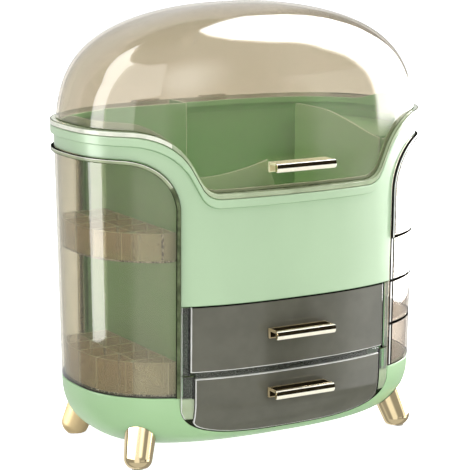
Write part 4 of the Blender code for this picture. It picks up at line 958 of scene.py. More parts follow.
def make_door():
    side = -1
    stations = end_stations(side)
    z0 = Z_BASE + GAP
    sections = []
    count = len(stations)
    for i, s in enumerate(stations):
        zt = door_top(s)
        x = abs(body_at(s, 0.0, Z_DOOR)[0])
        near = 0.0 if is_front(s) else min(1.0, max(0.0, (119.0 - x) / 7.6))
        reach = (DRAFT * (zt - z0) + 1.2) * near
        row = []
        for off, z in (
            (0.0, z0 + 0.5),
            (0.0, z0 + (zt - z0) * 0.5),
            (0.0, zt - 0.4),
            (0.14, zt - 0.1),
            (0.4, zt),
            (DOOR_WALL + reach - 0.4, zt),
            (DOOR_WALL + reach, zt - 0.4),
            (DOOR_WALL + (0.6 * near + reach) / 2, z0 + (zt - z0) * 0.5),
            (DOOR_WALL + 0.6 * near, z0 + 0.5),
            (DOOR_WALL + 0.6 * near - 0.4, z0),
            (0.4, z0),
        ):
            x, y = body_at(s, off, z)
            row.append((x, y, z))
        sections.append(row)
    shape = Shape()
    shape.skin(sections)
    path = rim_path(side, stations, z0 + 0.1)
    shape.sweep(path, RIM_SECTION, tag=door_rim_tag(path))
    shape.tube((side * PIVOT_X, PIVOT_Y, z0), (side * PIVOT_X, PIVOT_Y, Z_DOOR - GAP - 0.1), BARREL_R, BORE_R, 36, 0.3)
    # the rim carries painted dark lines and highlights, and the lower edge a painted dark line
    return finish_mesh("door_clear", shape, DOOR_CLEAR, "left_door", ["left_door"], 34.0,
                       [EDGE_PAINTED_DARK, FLANGE_PAINTED_HIGHLIGHT, EDGE_PAINTED_OLIVE, FLANGE_MID], lambda c, n, a: 1 if c.z < z0 + 0.6 and n.z < 0.5 else 0)


make_door()


# ------------------------------------------------------------------ right trays
def make_tray(index, z0, z1, top=None):
    stations = end_stations(1)
    inner_x = CORE_X + 0.6
    inner_top = z1 if top is None else 236.0
    wall, floor = TRAY_WALL, TRAY_FLOOR
    flat = lambda z: (lambda s: z)
    x_front = 97.6

    def ring(off, z_rule, ix, cham, pull=False):
        row = []
        for s in stations:
            z = z_rule(s)
            x, y = body_at(s, off, z)
            if pull and is_front(s) and x < x_front:
                x, y = body_at(("x", x_front + (x - 95.0) * 0.05, -1), off, z)
            row.append((x, y, z))
        zi = z_rule(None)
        back = [
            (106.6 - cham * 0.8, 66.0 - cham * 1.4),
            (ix + 6.0, 60.0 - cham),
            (ix, 48.0 - cham * 0.5),
            (ix, 20.0),
            (ix, -20.0),
            (ix, -56.0),
            (ix + 0.9, -72.4 if not pull else -70.6),
        ]
        for k, (x, y) in enumerate(back):
            row.append((x, y, zi if k < 6 or zi < 220 else zi - 38.0))
        return row

    high = (lambda s: inner_top if s is None else top(s)) if top else flat(z1)
    drop = lambda d: (lambda s: high(s) - d)
    loops = [
        ring(0.5, flat(z0), inner_x + 0.5, 0.0),
        ring(0.12, flat(z0 + 0.12), inner_x + 0.12, 0.0),
        ring(0.0, flat(z0 + 0.5), inner_x, 0.0),
        ring(0.0, flat(z0 + 0.95), inner_x, 0.0),
        ring(0.0, drop(0.95), inner_x, 0.0),
        ring(0.0, drop(0.5), inner_x, 0.0),
        ring(0.12, drop(0.12), inner_x + 0.12, 0.0),
        ring(0.5, drop(0.0), inner_x + 0.5, 0.0),
        ring(wall - 0.4, drop(0.0), inner_x + wall - 0.4, 3.0, True),
        ring(wall, drop(0.4), inner_x + wall, 3.0, True),
        ring(wall, flat(z0 + floor + 1.0), inner_x + wall, 3.0, True),
        ring(wall + 1.0, flat(z0 + floor), inner_x + wall + 1.0, 3.0, True),
    ]
    shape = Shape()

    # 1 painted dark lines on the edges, 2 a painted highlight on a strip of the front
    def tag(k, i):
        if i >= len(stations):
            return 0
        if k <= 2 or (4 <= k <= 7 and not top):
            return 1
        if top or k != 3 or stations[i][0] != "x" or stations[i][2] > 0:
            return 0
        x = stations[i][1]
        return 1 if x < 97.5 or 99.0 < x < 101.0 else (2 if x < 99.0 else 0)

    shape.skin(loops, tag=tag)
    if top:
        shape.sweep(rim_path(1, stations, z0 + 0.1), RIM_SECTION, tag=tray_rim_tag)
    shape.tube((PIVOT_X, PIVOT_Y, z0), (PIVOT_X, PIVOT_Y, (Z_DOOR - GAP - 0.1) if top else z1), BARREL_R, BORE_R, 36, 0.3)
    name = f"right_tray_{index}"
    clear = index in (1, 2)
    return finish_mesh(name + "_clear", shape, TRAY_CLEAR if clear else TRAY_TAN, name, [name], 34.0,
                       [EDGE_PAINTED_DARK, EDGE_PAINTED_HIGHLIGHT])


levels = (Z_BASE + GAP,) + TIERS
for i in range(4):
    low = levels[i] + (0.0 if i == 0 else 0.2)
    if i == 3:
        make_tray(1, low, 0.0, door_top)
    else:
        make_tray(4 - i, low, levels[i + 1] - 0.2)


# ------------------------------------------------------------------ racks
RACK_YS = (-71.0, -50.5, -25.5, -0.5, 24.5, 49.0)
RACK_XS = (95.2, 121.6, 148.0)
RACK_OFF, RACK_T = 3.4, 1.2


def clip(polygon, keep):
    out = []
    for i, p in enumerate(polygon):
        q = polygon[(i + 1) % len(polygon)]
        dp, dq = keep(p), keep(q)
        if dp >= 0:
            out.append(p)
        if (dp >= 0) != (dq >= 0):
            u = dp / (dp - dq)
            out.append((p[0] + (q[0] - p[0]) * u, p[1] + (q[1] - p[1]) * u))
    return out


def inside_polygon(polygon, window):
    for i, a in enumerate(window):
        b = window[(i + 1) % len(window)]

        def keep(p, a=a, b=b):
            return (b[0] - a[0]) * (p[1] - a[1]) - (b[1] - a[1]) * (p[0] - a[0])

        polygon = clip(polygon, keep)
        if len(polygon) < 3:
            return []
    return polygon


def area(polygon):
    return 0.5 * abs(sum(p[0] * q[1] - p[1] * q[0] for p, q in zip(polygon, polygon[1:] + polygon[:1])))


def rack_outline(off, z, x_inner, y0, y1, count=60):
    a = PLAN_A - shrink(off, z)
    b = PLAN_B - shrink(off, z)
    points = []
    for i in range(count + 1):
        y = y1 + (y0 - y1) * (0.5 - 0.5 * math.cos(math.pi * i / count))
        x = a * max(0.0, 1 - (abs(y) / b) ** PLAN_N) ** (1 / PLAN_N)
        points.append((-max(x, x_inner + 1.0), y))
    return points + [(-x_inner, y0), (-x_inner, y1)]


def make_rack(name, node, z0, z1, hooks):
    z_ref = (z0 + z1) / 2
    outline = rack_outline(RACK_OFF, z_ref, RACK_XS[0], RACK_YS[0], RACK_YS[-1])
    window = rack_outline(RACK_OFF + RACK_T, z_ref, RACK_XS[0] + RACK_T, RACK_YS[0] + RACK_T, RACK_YS[-1] - RACK_T)
    cells = []
    for xa, xb in zip(RACK_XS, RACK_XS[1:]):
        for ya, yb in zip(RACK_YS, RACK_YS[1:]):
            h = RACK_T / 2
            cell = [(-xa - h, yb - h), (-xb + h, yb - h), (-xb + h, ya + h), (-xa - h, ya + h)]
            cell = inside_polygon(cell, window)
            if cell and area(cell) > 90.0:
                cells.append(rounded(cell, 0.9, 2))
    shape = outline_solid([outline, *cells], z0 + 1.45, z1, 0.26)
    base = outline_solid([outline], z0, z0 + 1.4, 0.26)
    start = len(shape.points)
    shape.points += base.points
    shape.faces += [tuple(start + i for i in f) for f in base.faces]
    if hooks:
        hook = rounded([(-95.6, 174.1), (-91.7, 174.1), (-91.7, 171.5), (-90.0, 171.5), (-90.0, 176.6), (-95.6, 176.6)], 0.35, 2)
        for y in (-20.0, 20.0):
            shape.skin([[(x, y + d, z) for x, z in hook] for d in (-5.2, 5.2)])
    # 1 painted highlight on the tops, 2 painted glints on the lower edges and on some cell walls, 3 a paler clear at
    # the front corner
    def rule(c, n, a):
        if c.z > z1 - 1.0:
            return 1 if n.z > 0.25 else 0
        if c.z < z0 + 1.3:
            return 2 if abs(n.z) < 0.8 else 0
        if abs(n.z) < 0.2 and a < 0.8 * (z1 - z0) and c.z > z0 + 2.5:
            return 2 if int(abs(c.x) * 7.0 + abs(c.y) * 13.0) % 5 == 0 else 1
        return 3 if c.x > -124.0 and c.y < -50.0 else 0

    return finish_mesh(name, shape, RACK, "case", [node], 40.0, [RACK_RIM_HIGHLIGHT, GLINTS_PAINTED, RACK_PALE], rule)


make_rack("rack_low_clear", "lipstick_rack_lower", Z_BASE + 2 * GAP, 86.0, False)
make_rack("rack_high_clear", "lipstick_rack_upper", 164.4, 187.0, True)


# ------------------------------------------------------------------ dividers
def right_divider_top():
    points = []
    for i in range(41):
        y = -69.0 + 126.8 * i / 40
        u = min(1.0, max(0.0, (y + 72.0) / 92.0))
        points.append((y, 246.0 + 14.0 * (u * u * (3 - 2 * u)) ** 0.8))
    points[-1] = (57.8, 256.5)
    points.insert(-1, (56.6, 259.2))
    return points


def front_divider_top():
    points = []
    for i in range(30):
        x = -91.4 + 86.4 * i / 29
        u = max(0.0, (x + 62.0) / 57.0)
        points.append((x, 224.3 + 9.6 * u**1.8))
    return points


# partitions in a lighter green that is painted light, with painted highlights on their edges; the rear one in the
# inside green, also painted light
outline = [(-69.0, TRAY_Z1 + GAP), (57.8, TRAY_Z1 + GAP)] + list(reversed(right_divider_top()))
finish_mesh(
    "divider_right",
    outline_solid([outline], 89.5, 91.5, 0.45, lambda u, v, w: (w, u, v)),
    GREEN_LIT, "case", ["tray_divider_right"], 40.0, [GREEN_PAINTED_HIGHLIGHT], lambda c, n, a: 1 if abs(n.x) < 0.9 and n.z > -0.5 else 0,
)
outline = [(-91.4, TRAY_Z1 + GAP), (-5.0 + (233.9 - TRAY_Z1 - GAP) * 0.33, TRAY_Z1 + GAP)] + list(reversed(front_divider_top()))
finish_mesh(
    "divider_front",
    outline_solid([outline], -55.5, -53.5, 0.45, lambda u, v, w: (u, w, v)),
    GREEN_LIT, "case", ["tray_divider_front"], 40.0, [GREEN_PAINTED_HIGHLIGHT], lambda c, n, a: 1 if abs(n.y) < 0.9 and n.z > -0.5 else 0,
)
brush_path = [(-91.4, 56.0), (-15.5, 56.0), (-15.5, 84.0), (-17.5, 84.0), (-17.5, 58.0), (-91.4, 58.0)]
finish_mesh(
    "divider_rear",
    outline_solid([rounded(brush_path, [0, 2.2, 0.3, 0.3, 1.0, 0], 5)], TRAY_Z1 + GAP, 267.0, 0.45),
    GREEN_INSIDE_LIT, "case", ["tray_divider_rear"], 40.0, [GREEN_PAINTED_HIGHLIGHT],
    lambda c, n, a: 1 if n.z > 0.3 or (c.x > -17.2 and c.y < 57.8 and abs(n.z) < 0.3 and a < 400.0) else 0,
)


# ------------------------------------------------------------------ shelf, trims
def shelf_outline():
    xs = [-84.2 + 168.4 * i / 60 for i in range(61)]
    side = CASE_X - CASE_T - GAP
    return [(x, front_y(x, 75.4)) for x in xs] + [
        (84.2, CASE_Y0 - 1.0), (side, CASE_Y0 - 1.0), (side, CASE_Y1 - CASE_T - GAP),
        (-side, CASE_Y1 - CASE_T - GAP), (-side, CASE_Y0 - 1.0), (-84.2, CASE_Y0 - 1.0),
    ]


finish_mesh("shelf_clear", outline_solid([shelf_outline()], SHELF_Z0, SHELF_Z1, 0.7), CLEAR, "case", ["drawer_shelf"], 40.0)


def cut_edge(z):
    if z >= Z_BASE:
        return CUT_X
    v = (Z_BASE - z) / CUT_H
    return CUT_X * max(0.0, 1 - v**CUT_N) ** (1 / CUT_N)


def make_trim(name, node, side):
    shape = Shape()

    def column(zs, inner_of, ease=0.5):
        loops = []
        for k, z in enumerate(zs):
            end = ease if k in (0, len(zs) - 1) else 0.0
            x_in = inner_of(z) + end
            x_out = min(95.0, cut_edge(z) - 0.5) - end
            box2 = rounded([(x_in, end), (x_out, end), (x_out, 3.0 - end), (x_in, 3.0 - end)], 0.55, 3)
            loops.append([(side * x, front_y(x, z, off), z) for x, off in box2])
        shape.skin(loops)

    column([40.5, 41.0] + steps_between(42.5, 74.6, 2.4) + [75.0, 75.4], lambda z: 85.0)
    column([75.6, 76.0] + steps_between(80.0, 128.0, 8.0) + [129.6, 130.0], lambda z: 88.6)
    # 1 a painted highlight on the outer edge, 2 a painted dark line on the inner edge, 3 painted olive lines on the
    # flat faces, 4 the lower part in a greener clear
    def rule(c, n, a):
        x = abs(c.x)
        edge = min(95.0, cut_edge(c.z) - 0.5)
        if x > edge - 0.7:
            return 1
        if x < (85.0 if c.z < 75.5 else 88.6) + 0.8:
            return 2
        return 3 if abs(n.z) > 0.6 else (4 if c.z < 58.0 else 0)

    return finish_mesh(name, shape, CLEAR, "case", [node], 40.0, [EDGE_PAINTED_HIGHLIGHT, EDGE_PAINTED_DARK, EDGE_PAINTED_OLIVE, CLEAR_GREEN], rule)


make_trim("trim_left_clear", "front_trim_left", -1)
make_trim("trim_right_clear", "front_trim_right", 1)


# ------------------------------------------------------------------ drawers
def front_slab(shape, half_x, z_top, bottom, thickness, columns, radius, rows=9):
    """A drawer front that follows the body's curve, with rounded edges."""
    loops = []
    ends = [(0.0, radius), (0.3 * radius, 0.45 * radius), (radius, 0.0)]
    inside = steps_between(-half_x + 2 * radius, half_x - 2 * radius, 2 * half_x / columns)
    xs = [(-half_x + d, e) for d, e in ends] + [(x, 0.0) for x in inside] + [(half_x - d, e) for d, e in reversed(ends)]
    for x, e in xs:
        z0 = bottom(x) + e
        z1 = z_top - e
        r = radius * (1.0 - 0.6 * e / radius)
        front = []
        for k in range(rows):
            t = k / (rows - 1)
            front.append((e, z0 + r + (z1 - z0 - 2 * r) * t))
        a, b = e, thickness - e
        loop = front + [(a + 0.29 * r, z1 - 0.29 * r), (a + r, z1), (b - r * 0.6, z1), (b, z1 - r * 0.6)]
        loop += [(b, z0 + r + (z1 - z0 - 2 * r) * (1 - k / (rows - 1))) for k in range(rows)]
        loop += [(b, z0 + r * 0.6), (b - r * 0.6, z0), (a + r, z0), (a + 0.29 * r, z0 + 0.29 * r)]
        loops.append([(x, front_y(x, z, off), z) for off, z in loop])
    last = len(loops) - 2

    # 1 painted highlights on the rounded edges, 2 the top edge, a painted dark line on the upper drawer and a painted
    # highlight on the lower one, 3 the smoked front face
    def tag(k, i):
        if k in (0, 1, last - 1, last):
            return 1 if i < rows + 3 or i > 2 * rows + 3 else 0
        if rows - 1 <= i <= rows + 1:
            return 2
        return 1 if i >= 2 * rows + 4 else 3

    shape.skin(loops, tag=tag)


def make_upper_drawer():
    shape = Shape()
    front_slab(shape, UPPER_X, UPPER_Z1, lambda x: UPPER_Z0, 2.6, 76, 0.8)
    w = 1.8
    back, z0 = DRAWER_BACK, UPPER_Z0 + 0.3
    for s in (-1, 1):
        loops = []
        y_front = [front_y(x, 100.0, 2.66) for x in (85.0, 87.0)]
        for y, e in ((y_front[0] + 0.3, 0.3), (y_front[0] + 0.6, 0.0), (back - 0.3, 0.0), (back, 0.3)):
            loops.append([(s * x, y, z) for x, z in rounded(
                [(85.0 - w + e, z0 + w + 0.02), (85.0 - e, z0 + w + 0.02), (87.0 - e, 122.0 - e), (87.0 - w + e, 122.0 - e)], [0, 0, 0.7, 0.7], 3)])
        shape.skin(loops)
    shape.box((-84.9 + w, back - w, z0 + w + 0.02), (84.9 - w, back, 121.6), 0.5)
    xs = steps_between(-84.6, 84.6, 3.0)
    outline = [(x, front_y(x, UPPER_Z0 + 1.2, 2.66)) for x in xs] + [(84.6, back), (-84.6, back)]
    floor = outline_solid([outline], z0, z0 + w, 0.4)
    start = len(shape.points)
    shape.points += floor.points
    shape.faces += [tuple(start + i for i in f) for f in floor.faces]
    return finish_mesh("upper_drawer_clear", shape, SMOKE, "upper_drawer", ["upper_drawer"], 36.0,
                       [EDGE_PAINTED_HIGHLIGHT, EDGE_PAINTED_DARK, SMOKE_FRONT])


make_upper_drawer()


def lower_bottom(x):
    u = min(1.0, abs(x) / CUT_X)
    z = Z_BASE - CUT_H * (1 - u**CUT_N) ** (1 / CUT_N)
    corner = max(0.0, (abs(x) - 78.0) / (LOWER_X - 78.0))
    return z + 0.9 + 2.5 * corner**3


def lower_section(z, t):
    v = min(1.0, (Z_BASE - (z - 1.1)) / CUT_H)
    x = CUT_X if v <= 0 else CUT_X * (1 - v**CUT_N) ** (1 / CUT_N)
    return min(x - 0.8, 82.6) - t


def make_lower_drawer():
    shape = Shape()
    front_slab(shape, LOWER_X, LOWER_Z1, lower_bottom, 2.6, 76, 0.8, 12)
    w = 1.8

    def row(z, t, lift=0.0):
        half = lower_section(z, t)
        xs = [-half + 2 * half * i / 30 for i in range(31)]
        y_in = 2.66 if t == 0 else 4.4
        line = [(x, front_y(x, max(z, 27.5), y_in), z + lift) for x in xs]
        return line + [(half, DRAWER_BACK - t, z + lift), (-half, DRAWER_BACK - t, z + lift)]

    outer = [row(z, 0.0) for z in (24.6, 24.9, 25.4, 26.3, 27.4, 29.0, 30.5, 33.0, 36.0, 40.0, 45.0, 52.0, 60.0, 68.6)]
    outer += [row(69.0, 0.4)]
    inner = [row(69.0, w - 0.4), row(68.6, w), row(60.0, w), row(52.0, w), row(45.0, w), row(40.0, w), row(36.5, w)]
    inner += [row(z, w, l) for z, l in ((33.0, 0.3), (30.5, 0.6), (29.0, 0.9), (27.4, 1.2), (26.3, 1.5), (25.4, 1.8))]
    shape.skin(outer + inner)
    return finish_mesh("lower_drawer_clear", shape, SMOKE, "lower_drawer", ["lower_drawer"], 36.0,
                       [EDGE_PAINTED_HIGHLIGHT, EDGE_PAINTED_HIGHLIGHT, SMOKE_FRONT])


make_lower_drawer()


# ------------------------------------------------------------------ pulls
def make_pull(name, node, body, y_panel, z_top, web=GOLD_PAINTED_DARK, line=GOLD_PAINTED_LINE):
    """A folded metal pull: a bar with a rounded lip, a top plate back to the
    panel, and a fixing flange on it."""
    shape = Shape()
    y0, y1 = y_panel - GAP, y_panel - HANDLE_OUT
    lip = []
    h = HANDLE_H / 2
    zc = z_top - h
    for i in range(17):
        a = math.pi / 2 - math.pi * i / 16
        lip.append((y1 + 2.6 - 2.6 * abs(math.cos(a)) ** 0.72, zc + h * math.sin(a)))
    lip += rounded([(y1 + 4.2, z_top - HANDLE_H), (y1 + 4.2, z_top)], 0.0)
    bar = rounded(lip, [0.0] * 17 + [0.5, 0.5], 3)
    loops = []
    for x, e in ((-HANDLE_HALF, 1.0), (-HANDLE_HALF + 0.12, 0.6), (-HANDLE_HALF + 0.4, 0.25), (-HANDLE_HALF + 0.9, 0.0),
                 (HANDLE_HALF - 0.9, 0.0), (HANDLE_HALF - 0.4, 0.25), (HANDLE_HALF - 0.12, 0.6), (HANDLE_HALF, 1.0)):
        cy = y1 + 2.1
        loops.append([(x, cy + (y - cy) * (1 - e / 2.4), zc + (z - zc) * (1 - e / h)) for y, z in bar])
    # the lip: a painted dark stripe between painted highlights; the plates: painted reflection with painted border
    # lines
    shape.skin(loops, tag=lambda k, i: (4 if 3 <= i <= 7 else 1) if i <= 15 and 1 <= k <= 5 else 0)
    wh = HANDLE_WEB_HALF
    shape.box((-wh, y1 + 4.0, z_top - 2.25), (wh, y0 - 1.2, z_top - 0.05), 0.35, 3, 0.9, 2)
    shape.box((-wh, y0 - 2.0, z_top - 8.0), (wh, y0, z_top - 0.02), 0.35, 3, 0.7, 2)
    return finish_mesh(name, shape, GOLD, body, [node], 34.0, [GOLD_PAINTED_HIGHLIGHT, web, line, GOLD_PAINTED_DARK],
                       lambda c, n, a: 0 if c.y < y1 + 4.3 else 3)


PANEL_Y = {
    "upper": front_y(0.0, HANDLE_Z["upper"]),
    "lower": front_y(0.0, HANDLE_Z["lower"]),
    "lid": dome_at(("x", 0.0, -1), 0.0, HANDLE_Z["lid"])[1],
}
make_pull("lid_pull_gold", "lid_handle", "lid", PANEL_Y["lid"], HANDLE_Z["lid"], WEB_PAINTED_PALE, WEB_PAINTED_LINE)
make_pull("upper_pull_gold", "upper_drawer_handle", "upper_drawer", PANEL_Y["upper"], HANDLE_Z["upper"])
make_pull("lower_pull_gold", "lower_drawer_handle", "lower_drawer", PANEL_Y["lower"], HANDLE_Z["lower"])


# ------------------------------------------------------------------ feet
def bowl_value(p):
    """Below zero inside the bowl's outer face, moved out by 0.3 mm."""
    if p.z < Z_BOTTOM - 0.3:
        return 1.0
    z = min(Z_BASE, max(Z_BOTTOM, p.z + 0.3))
    o = shrink(bowl_off(z) - 0.3, z)
    a, b = PLAN_A - o, PLAN_B - o
    return (abs(p.x) / a) ** PLAN_N + (abs(p.y) / b) ** PLAN_N - 1.0


def make_foot(place, sx, sy):
    y0 = FOOT_YF if sy < 0 else FOOT_YB
    up = Vector((
        -sx * math.cos(FOOT_PHI) * math.sin(FOOT_TILT),
        -sy * math.sin(FOOT_PHI) * math.sin(FOOT_TILT),
        math.cos(FOOT_TILT),
    ))
    sole = Vector((sx * FOOT_X, sy * y0, 0.0))
    side = up.orthogonal().normalized()
    other = up.cross(side)
    length, round_r, sides = 44.0, 9.5, 80
    profile = []
    for i in range(15):
        a = math.pi / 2 * (1 - i / 14)
        profile.append((max(0.02, FOOT_R0 - round_r + round_r * math.cos(a)) if i else 1.9, round_r * (1 - math.sin(a))))
    columns = []
    for k in range(sides):
        a = 2 * math.pi * k / sides
        spoke = side * math.cos(a) + other * math.sin(a)

        def at(t):
            h = round_r + (length - round_r) * t
            r = FOOT_R0 + (FOOT_R1 - FOOT_R0) * (h - round_r) / (length - round_r)
            return sole + up * h + spoke * r

        low, high = 0.0, 1.0
        for step in range(60):
            if bowl_value(at(step / 59)) < 0:
                high = step / 59
                low = max(0.0, (step - 1) / 59)
                break
        for _ in range(24):
            mid = (low + high) / 2
            if bowl_value(at(mid)) < 0:
                high = mid
            else:
                low = mid
        column = [sole + up * h + spoke * r for r, h in profile]
        column += [at(low * j / 5) for j in range(1, 6)]
        columns.append([Vector((p.x, p.y, max(p.z, 1.5))) for p in column])
    rows = [[tuple(columns[k][j]) for k in range(sides)] for j in range(len(columns[0]))]
    shape = Shape()
    shape.skin(rows)
    node = "foot_" + place
    # the rear feet take a darker gold copy: painted shade
    return finish_mesh(node + "_gold", shape, GOLD if sy < 0 else GOLD_SATIN_SHADED, "case", [node], 40.0)


for place, sx, sy in (("front_left", -1, -1), ("front_right", 1, -1), ("rear_left", -1, 1), ("rear_right", 1, 1)):
    make_foot(place, sx, sy)


# ------------------------------------------------------------------ CAD pieces that stay
def keep(names, material, ease=0.35):
    for name in names:
        obj = NODES[name]
        obj.data.materials.clear()
        obj.data.materials.append(material)
        if ease:
            mod = obj.modifiers.new("eased_edges", "BEVEL")
            mod.width = ease * MM
            mod.segments = 2
            mod.limit_method = "ANGLE"
            mod.angle_limit = math.radians(42)
            mod.harden_normals = False


keep(["base_deck", "hinge_bracket_left", "hinge_bracket_right"], GREEN)
# the inside pieces take the brighter inside green: painted light
keep(["core_wall_left", "core_wall_right", "end_deck_left", "end_deck_right", "tray_floor"], GREEN_INSIDE_LIT)
keep(["drawer_case"], SMOKE)
keep(["hinge_leaf_left", "hinge_leaf_right"], BEIGE)
keep(["hinge_pin_left", "hinge_pin_right", "pivot_rod_left", "pivot_rod_right"], STEEL, 0.15)
keep([n for n in NODES if "screw" in n], STEEL, 0.15)
keep([n for n in NODES if n.startswith("foot_pad")], RUBBER, 0.2)


# ------------------------------------------------------------------ studio
def make_floor():
    mesh = bpy.data.meshes.new("studio_floor")
    r = 26.0
    ring = [(r * math.cos(2 * math.pi * i / 48), r * math.sin(2 * math.pi * i / 48), 0.0) for i in range(48)]
    mesh.from_pydata(ring, [], [tuple(range(48))])
    floor = bpy.data.objects.new("studio_floor", mesh)
    bpy.context.scene.collection.objects.link(floor)
    mat, n = blank("studio_paper")
    plain = stretched(n, (1, 1, 1))
    tone = n.span(n.noise(plain, 3.0, 2.0), 0.3, 0.7, 0.985, 1.0)
    shader = n.add("ShaderNodeBsdfPrincipled", Roughness=0.8)
    shader.inputs["Base Color"].default_value = (0.9, 0.9, 0.9, 1.0)
    shader.inputs["Emission Color"].default_value = (1.0, 1.0, 1.0, 1.0)
    diffuse = n.add("ShaderNodeLightPath").outputs["Is Diffuse Ray"]
    n.feed(shader.inputs["Emission Strength"], n.math("MULTIPLY", tone, n.span(diffuse, 0.0, 1.0, 1.02, 0.25, False)))
    n.add("ShaderNodeOutputMaterial", Surface=shader.outputs[0])
    mesh.materials.append(mat)
    floor.visible_glossy = False
    return floor


make_floor()


def make_world():
    """Soft boxes and dark flags of a small studio, as seen in the gloss. The
    camera itself sees plain white."""
    world = bpy.data.worlds.new("studio")
    bpy.context.scene.world = world
    world.use_nodes = True
    world.node_tree.nodes.clear()
    n = Nodes(world.node_tree)
    way = n.add("ShaderNodeTexCoord").outputs["Generated"]
    split = n.add("ShaderNodeSeparateXYZ", Vector=way)
    x, y, z = split.outputs[0], split.outputs[1], split.outputs[2]
    degrees = 180.0 / math.pi
    az = n.math("MULTIPLY", n.math("ARCTAN2", x, n.math("MULTIPLY", y, -1.0)), degrees)
    el = n.math("MULTIPLY", n.math("ARCSINE", z), degrees)

    def between(value, low, high, soft=1.5):
        a = n.span(n.math("SUBTRACT", value, low), -soft, soft)
        b = n.span(n.math("SUBTRACT", high, value), -soft, soft)
        return n.math("MULTIPLY", a, b)

    def times(*values):
        out = values[0]
        for v in values[1:]:
            out = n.math("MULTIPLY", out, v)
        return out

    over = lambda value, start, slope: n.math("MULTIPLY", n.math("MAXIMUM", n.math("SUBTRACT", value, start), 0.0), slope)
    # big soft box on the right
    az_low = n.math("ADD", 59.5, over(el, 45.0, 0.68))
    az_high = n.math("MINIMUM", n.math("ADD", 119.0, over(el, 25.0, 0.95)), 137.0)
    arc = n.math("POWER", n.math("DIVIDE", n.math("SUBTRACT", az, 105.0), 33.0), 2.0)
    el_high = n.math("ADD", 66.0, n.math("MAXIMUM", n.math("MULTIPLY", n.math("SUBTRACT", 1.0, arc), 6.0), 0.0))
    right = times(between(az, az_low, az_high, 2.0), n.span(el, -8.0, -1.5),
                  n.span(n.math("SUBTRACT", el_high, el), -1.4, 1.4))
    # tall strip on the left
    left_low = n.math("SUBTRACT", -126.0, over(el, 28.0, 1.3))
    left = times(between(az, left_low, -102.0, 1.3), between(el, -3.0, 60.0, 1.2))
    # window in front on the left, wider above, and a soft glow beside it
    patch_high = n.span(el, 20.5, 23.5, -54.0, -27.0)
    patch = times(between(az, -101.5, patch_high, 1.0), between(el, -4.0, 63.0, 2.0))
    way_az = n.math("MULTIPLY", n.math("ADD", az, 9.0), n.math("COSINE", n.math("DIVIDE", el, degrees)))
    far = n.math("SQRT", n.math("ADD", n.math("POWER", way_az, 2.0), n.math("POWER", n.math("SUBTRACT", el, 36.0), 2.0)))
    glow = n.span(far, 36.0, 3.0)
    # white backdrop behind
    behind = n.math("MAXIMUM", n.span(az, 138.0, 142.0), n.span(az, -144.0, -150.0))
    backdrop = times(behind, between(el, -90.0, 47.0, 2.5))
    # white table below, and a dark gap in front
    table = n.span(el, -26.0, -36.0)
    ahead = between(az, -114.0, 57.0, 4.0)
    ground = n.math("MULTIPLY", table, n.math("ADD", 0.25, n.math("MULTIPLY", ahead, 0.4)))
    near = times(between(az, -58.0, -18.0, 8.0), between(el, -34.0, 26.0, 6.0))
    ceiling = times(n.math("MAXIMUM", n.span(az, 136.0, 140.0), n.span(az, -140.0, -146.0)), n.span(el, 46.0, 50.0))
    room = n.math("SUBTRACT", n.math("ADD", 0.38, n.math("MULTIPLY", near, 0.75)), n.math("MULTIPLY", ceiling, 0.32))
    front_fill = times(between(az, -12.0, 60.0, 6.0), between(el, -26.0, -9.0, 3.0))
    side_glow = times(between(az, 33.0, 62.0, 3.0), between(el, -9.0, 24.0, 2.5))
    low_glow = times(n.span(az, 30.0, 56.0), between(az, 0.0, 72.0, 5.0), between(el, -26.0, -8.0, 3.0))
    # dark slot that the pulls show as a stripe
    slot = times(between(az, 26.0, 34.0, 1.5), between(el, -24.0, -7.5, 1.5))
    total = n.math("MAXIMUM", room, ground)
    for share, strength in ((side_glow, 1.3), (front_fill, 0.6), (low_glow, 2.2)):
        total = n.math("MAXIMUM", total, n.math("MULTIPLY", share, strength))
    total = n.math("MULTIPLY", total, n.math("SUBTRACT", 1.0, n.math("MULTIPLY", slot, 0.93)))
    for share, strength in ((right, 14.0), (left, 8.5), (patch, 3.2), (glow, 3.2), (backdrop, 0.85)):
        total = n.math("MAXIMUM", total, n.math("MULTIPLY", share, strength))
    camera = n.add("ShaderNodeLightPath").outputs["Is Camera Ray"]
    strength = n.math("ADD", n.math("MULTIPLY", total, n.math("SUBTRACT", 1.0, camera)), camera)
    background = n.add("ShaderNodeBackground", Strength=strength)
    background.inputs["Color"].default_value = (1.0, 1.0, 1.0, 1.0)
    n.add("ShaderNodeOutputWorld", Surface=background.outputs[0])
    world.cycles_visibility.diffuse = False


make_world()


def glowing_card(name, corners, radiance):
    """A standing soft box near the object, seen in the gloss only."""
    mesh = bpy.data.meshes.new(name)
    mesh.from_pydata(corners, [], [(0, 1, 2, 3)])
    card = bpy.data.objects.new(name, mesh)
    bpy.context.scene.collection.objects.link(card)
    mat, n = blank(name)
    uneven = n.span(n.noise(stretched(n, (3, 3, 3)), 1.0, 1.0), 0.3, 0.7, radiance * 0.97, radiance)
    glow = n.add("ShaderNodeEmission", Strength=uneven)
    n.add("ShaderNodeOutputMaterial", Surface=glow.outputs[0])
    mesh.materials.append(mat)
    card.visible_camera = card.visible_diffuse = card.visible_shadow = card.visible_transmission = False
    return card


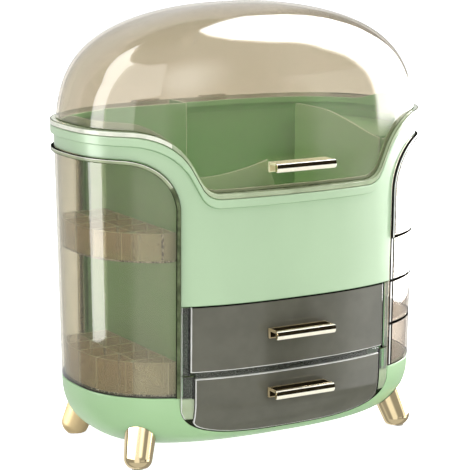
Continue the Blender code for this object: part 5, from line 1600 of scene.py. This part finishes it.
glowing_card("right_card", [(0.50, -0.172, 0.014), (0.50, 0.30, 0.014), (0.50, 0.30, 0.27), (0.50, -0.172, 0.27)], 14.0)
left_mid, left_across = Vector((-0.472, 0.0955, 0.0)), Vector((0.36, 0.933, 0.0)) * 0.078
glowing_card("left_card", [
    tuple(left_mid - left_across + Vector((0, 0, 0.002))), tuple(left_mid + left_across + Vector((0, 0, 0.002))),
    tuple(left_mid + left_across + Vector((0, 0, 0.27))), tuple(left_mid - left_across + Vector((0, 0, 0.27)))], 8.5)


def soft_light(name, place, target, size, radiance, colour=(1, 1, 1)):
    data = bpy.data.lights.new(name, "AREA")
    data.shape = "RECTANGLE"
    data.size, data.size_y = size
    data.energy = radiance * math.pi * size[0] * size[1]
    data.color = colour
    obj = bpy.data.objects.new(name, data)
    bpy.context.scene.collection.objects.link(obj)
    obj.location = place
    obj.rotation_euler = (Vector(target) - Vector(place)).to_track_quat("-Z", "Y").to_euler()
    obj.visible_camera = False
    obj.visible_glossy = False
    return obj


soft_light("top_box", (0.1, -0.1, 2.0), (0, 0, 0.15), (2.6, 2.6), 2.3)
soft_light("front_box", (0.3, -2.4, 0.9), (0, 0, 0.16), (2.4, 1.6), 1.95)
soft_light("right_box", (1.7, -0.6, 0.8), (0, 0, 0.16), (1.2, 1.4), 1.0)
soft_light("left_box", (-1.7, -0.3, 0.8), (0, 0, 0.16), (1.2, 1.4), 1.9)

camera_data = bpy.data.cameras.new("photo_camera")
camera_data.sensor_width = 36.0
camera_data.lens = 154.0
camera_data.clip_end = 100.0
camera = bpy.data.objects.new("photo_camera", camera_data)
bpy.context.scene.collection.objects.link(camera)
camera.location = (-0.8049, -1.38635, 0.4784)
camera.rotation_euler = (Vector((-0.00197, 0.00319, 0.1638)) - Vector(camera.location)).to_track_quat("-Z", "Y").to_euler()
bpy.context.scene.camera = camera

view = bpy.context.scene.view_settings
view.view_transform = "Standard"
view.look = "None"
bpy.context.scene.cycles.transparent_max_bounces = 48
bpy.context.scene.cycles.max_bounces = 10
bpy.context.scene.cycles.use_denoising = True
bpy.context.scene.cycles.caustics_reflective = False
bpy.context.scene.cycles.caustics_refractive = False
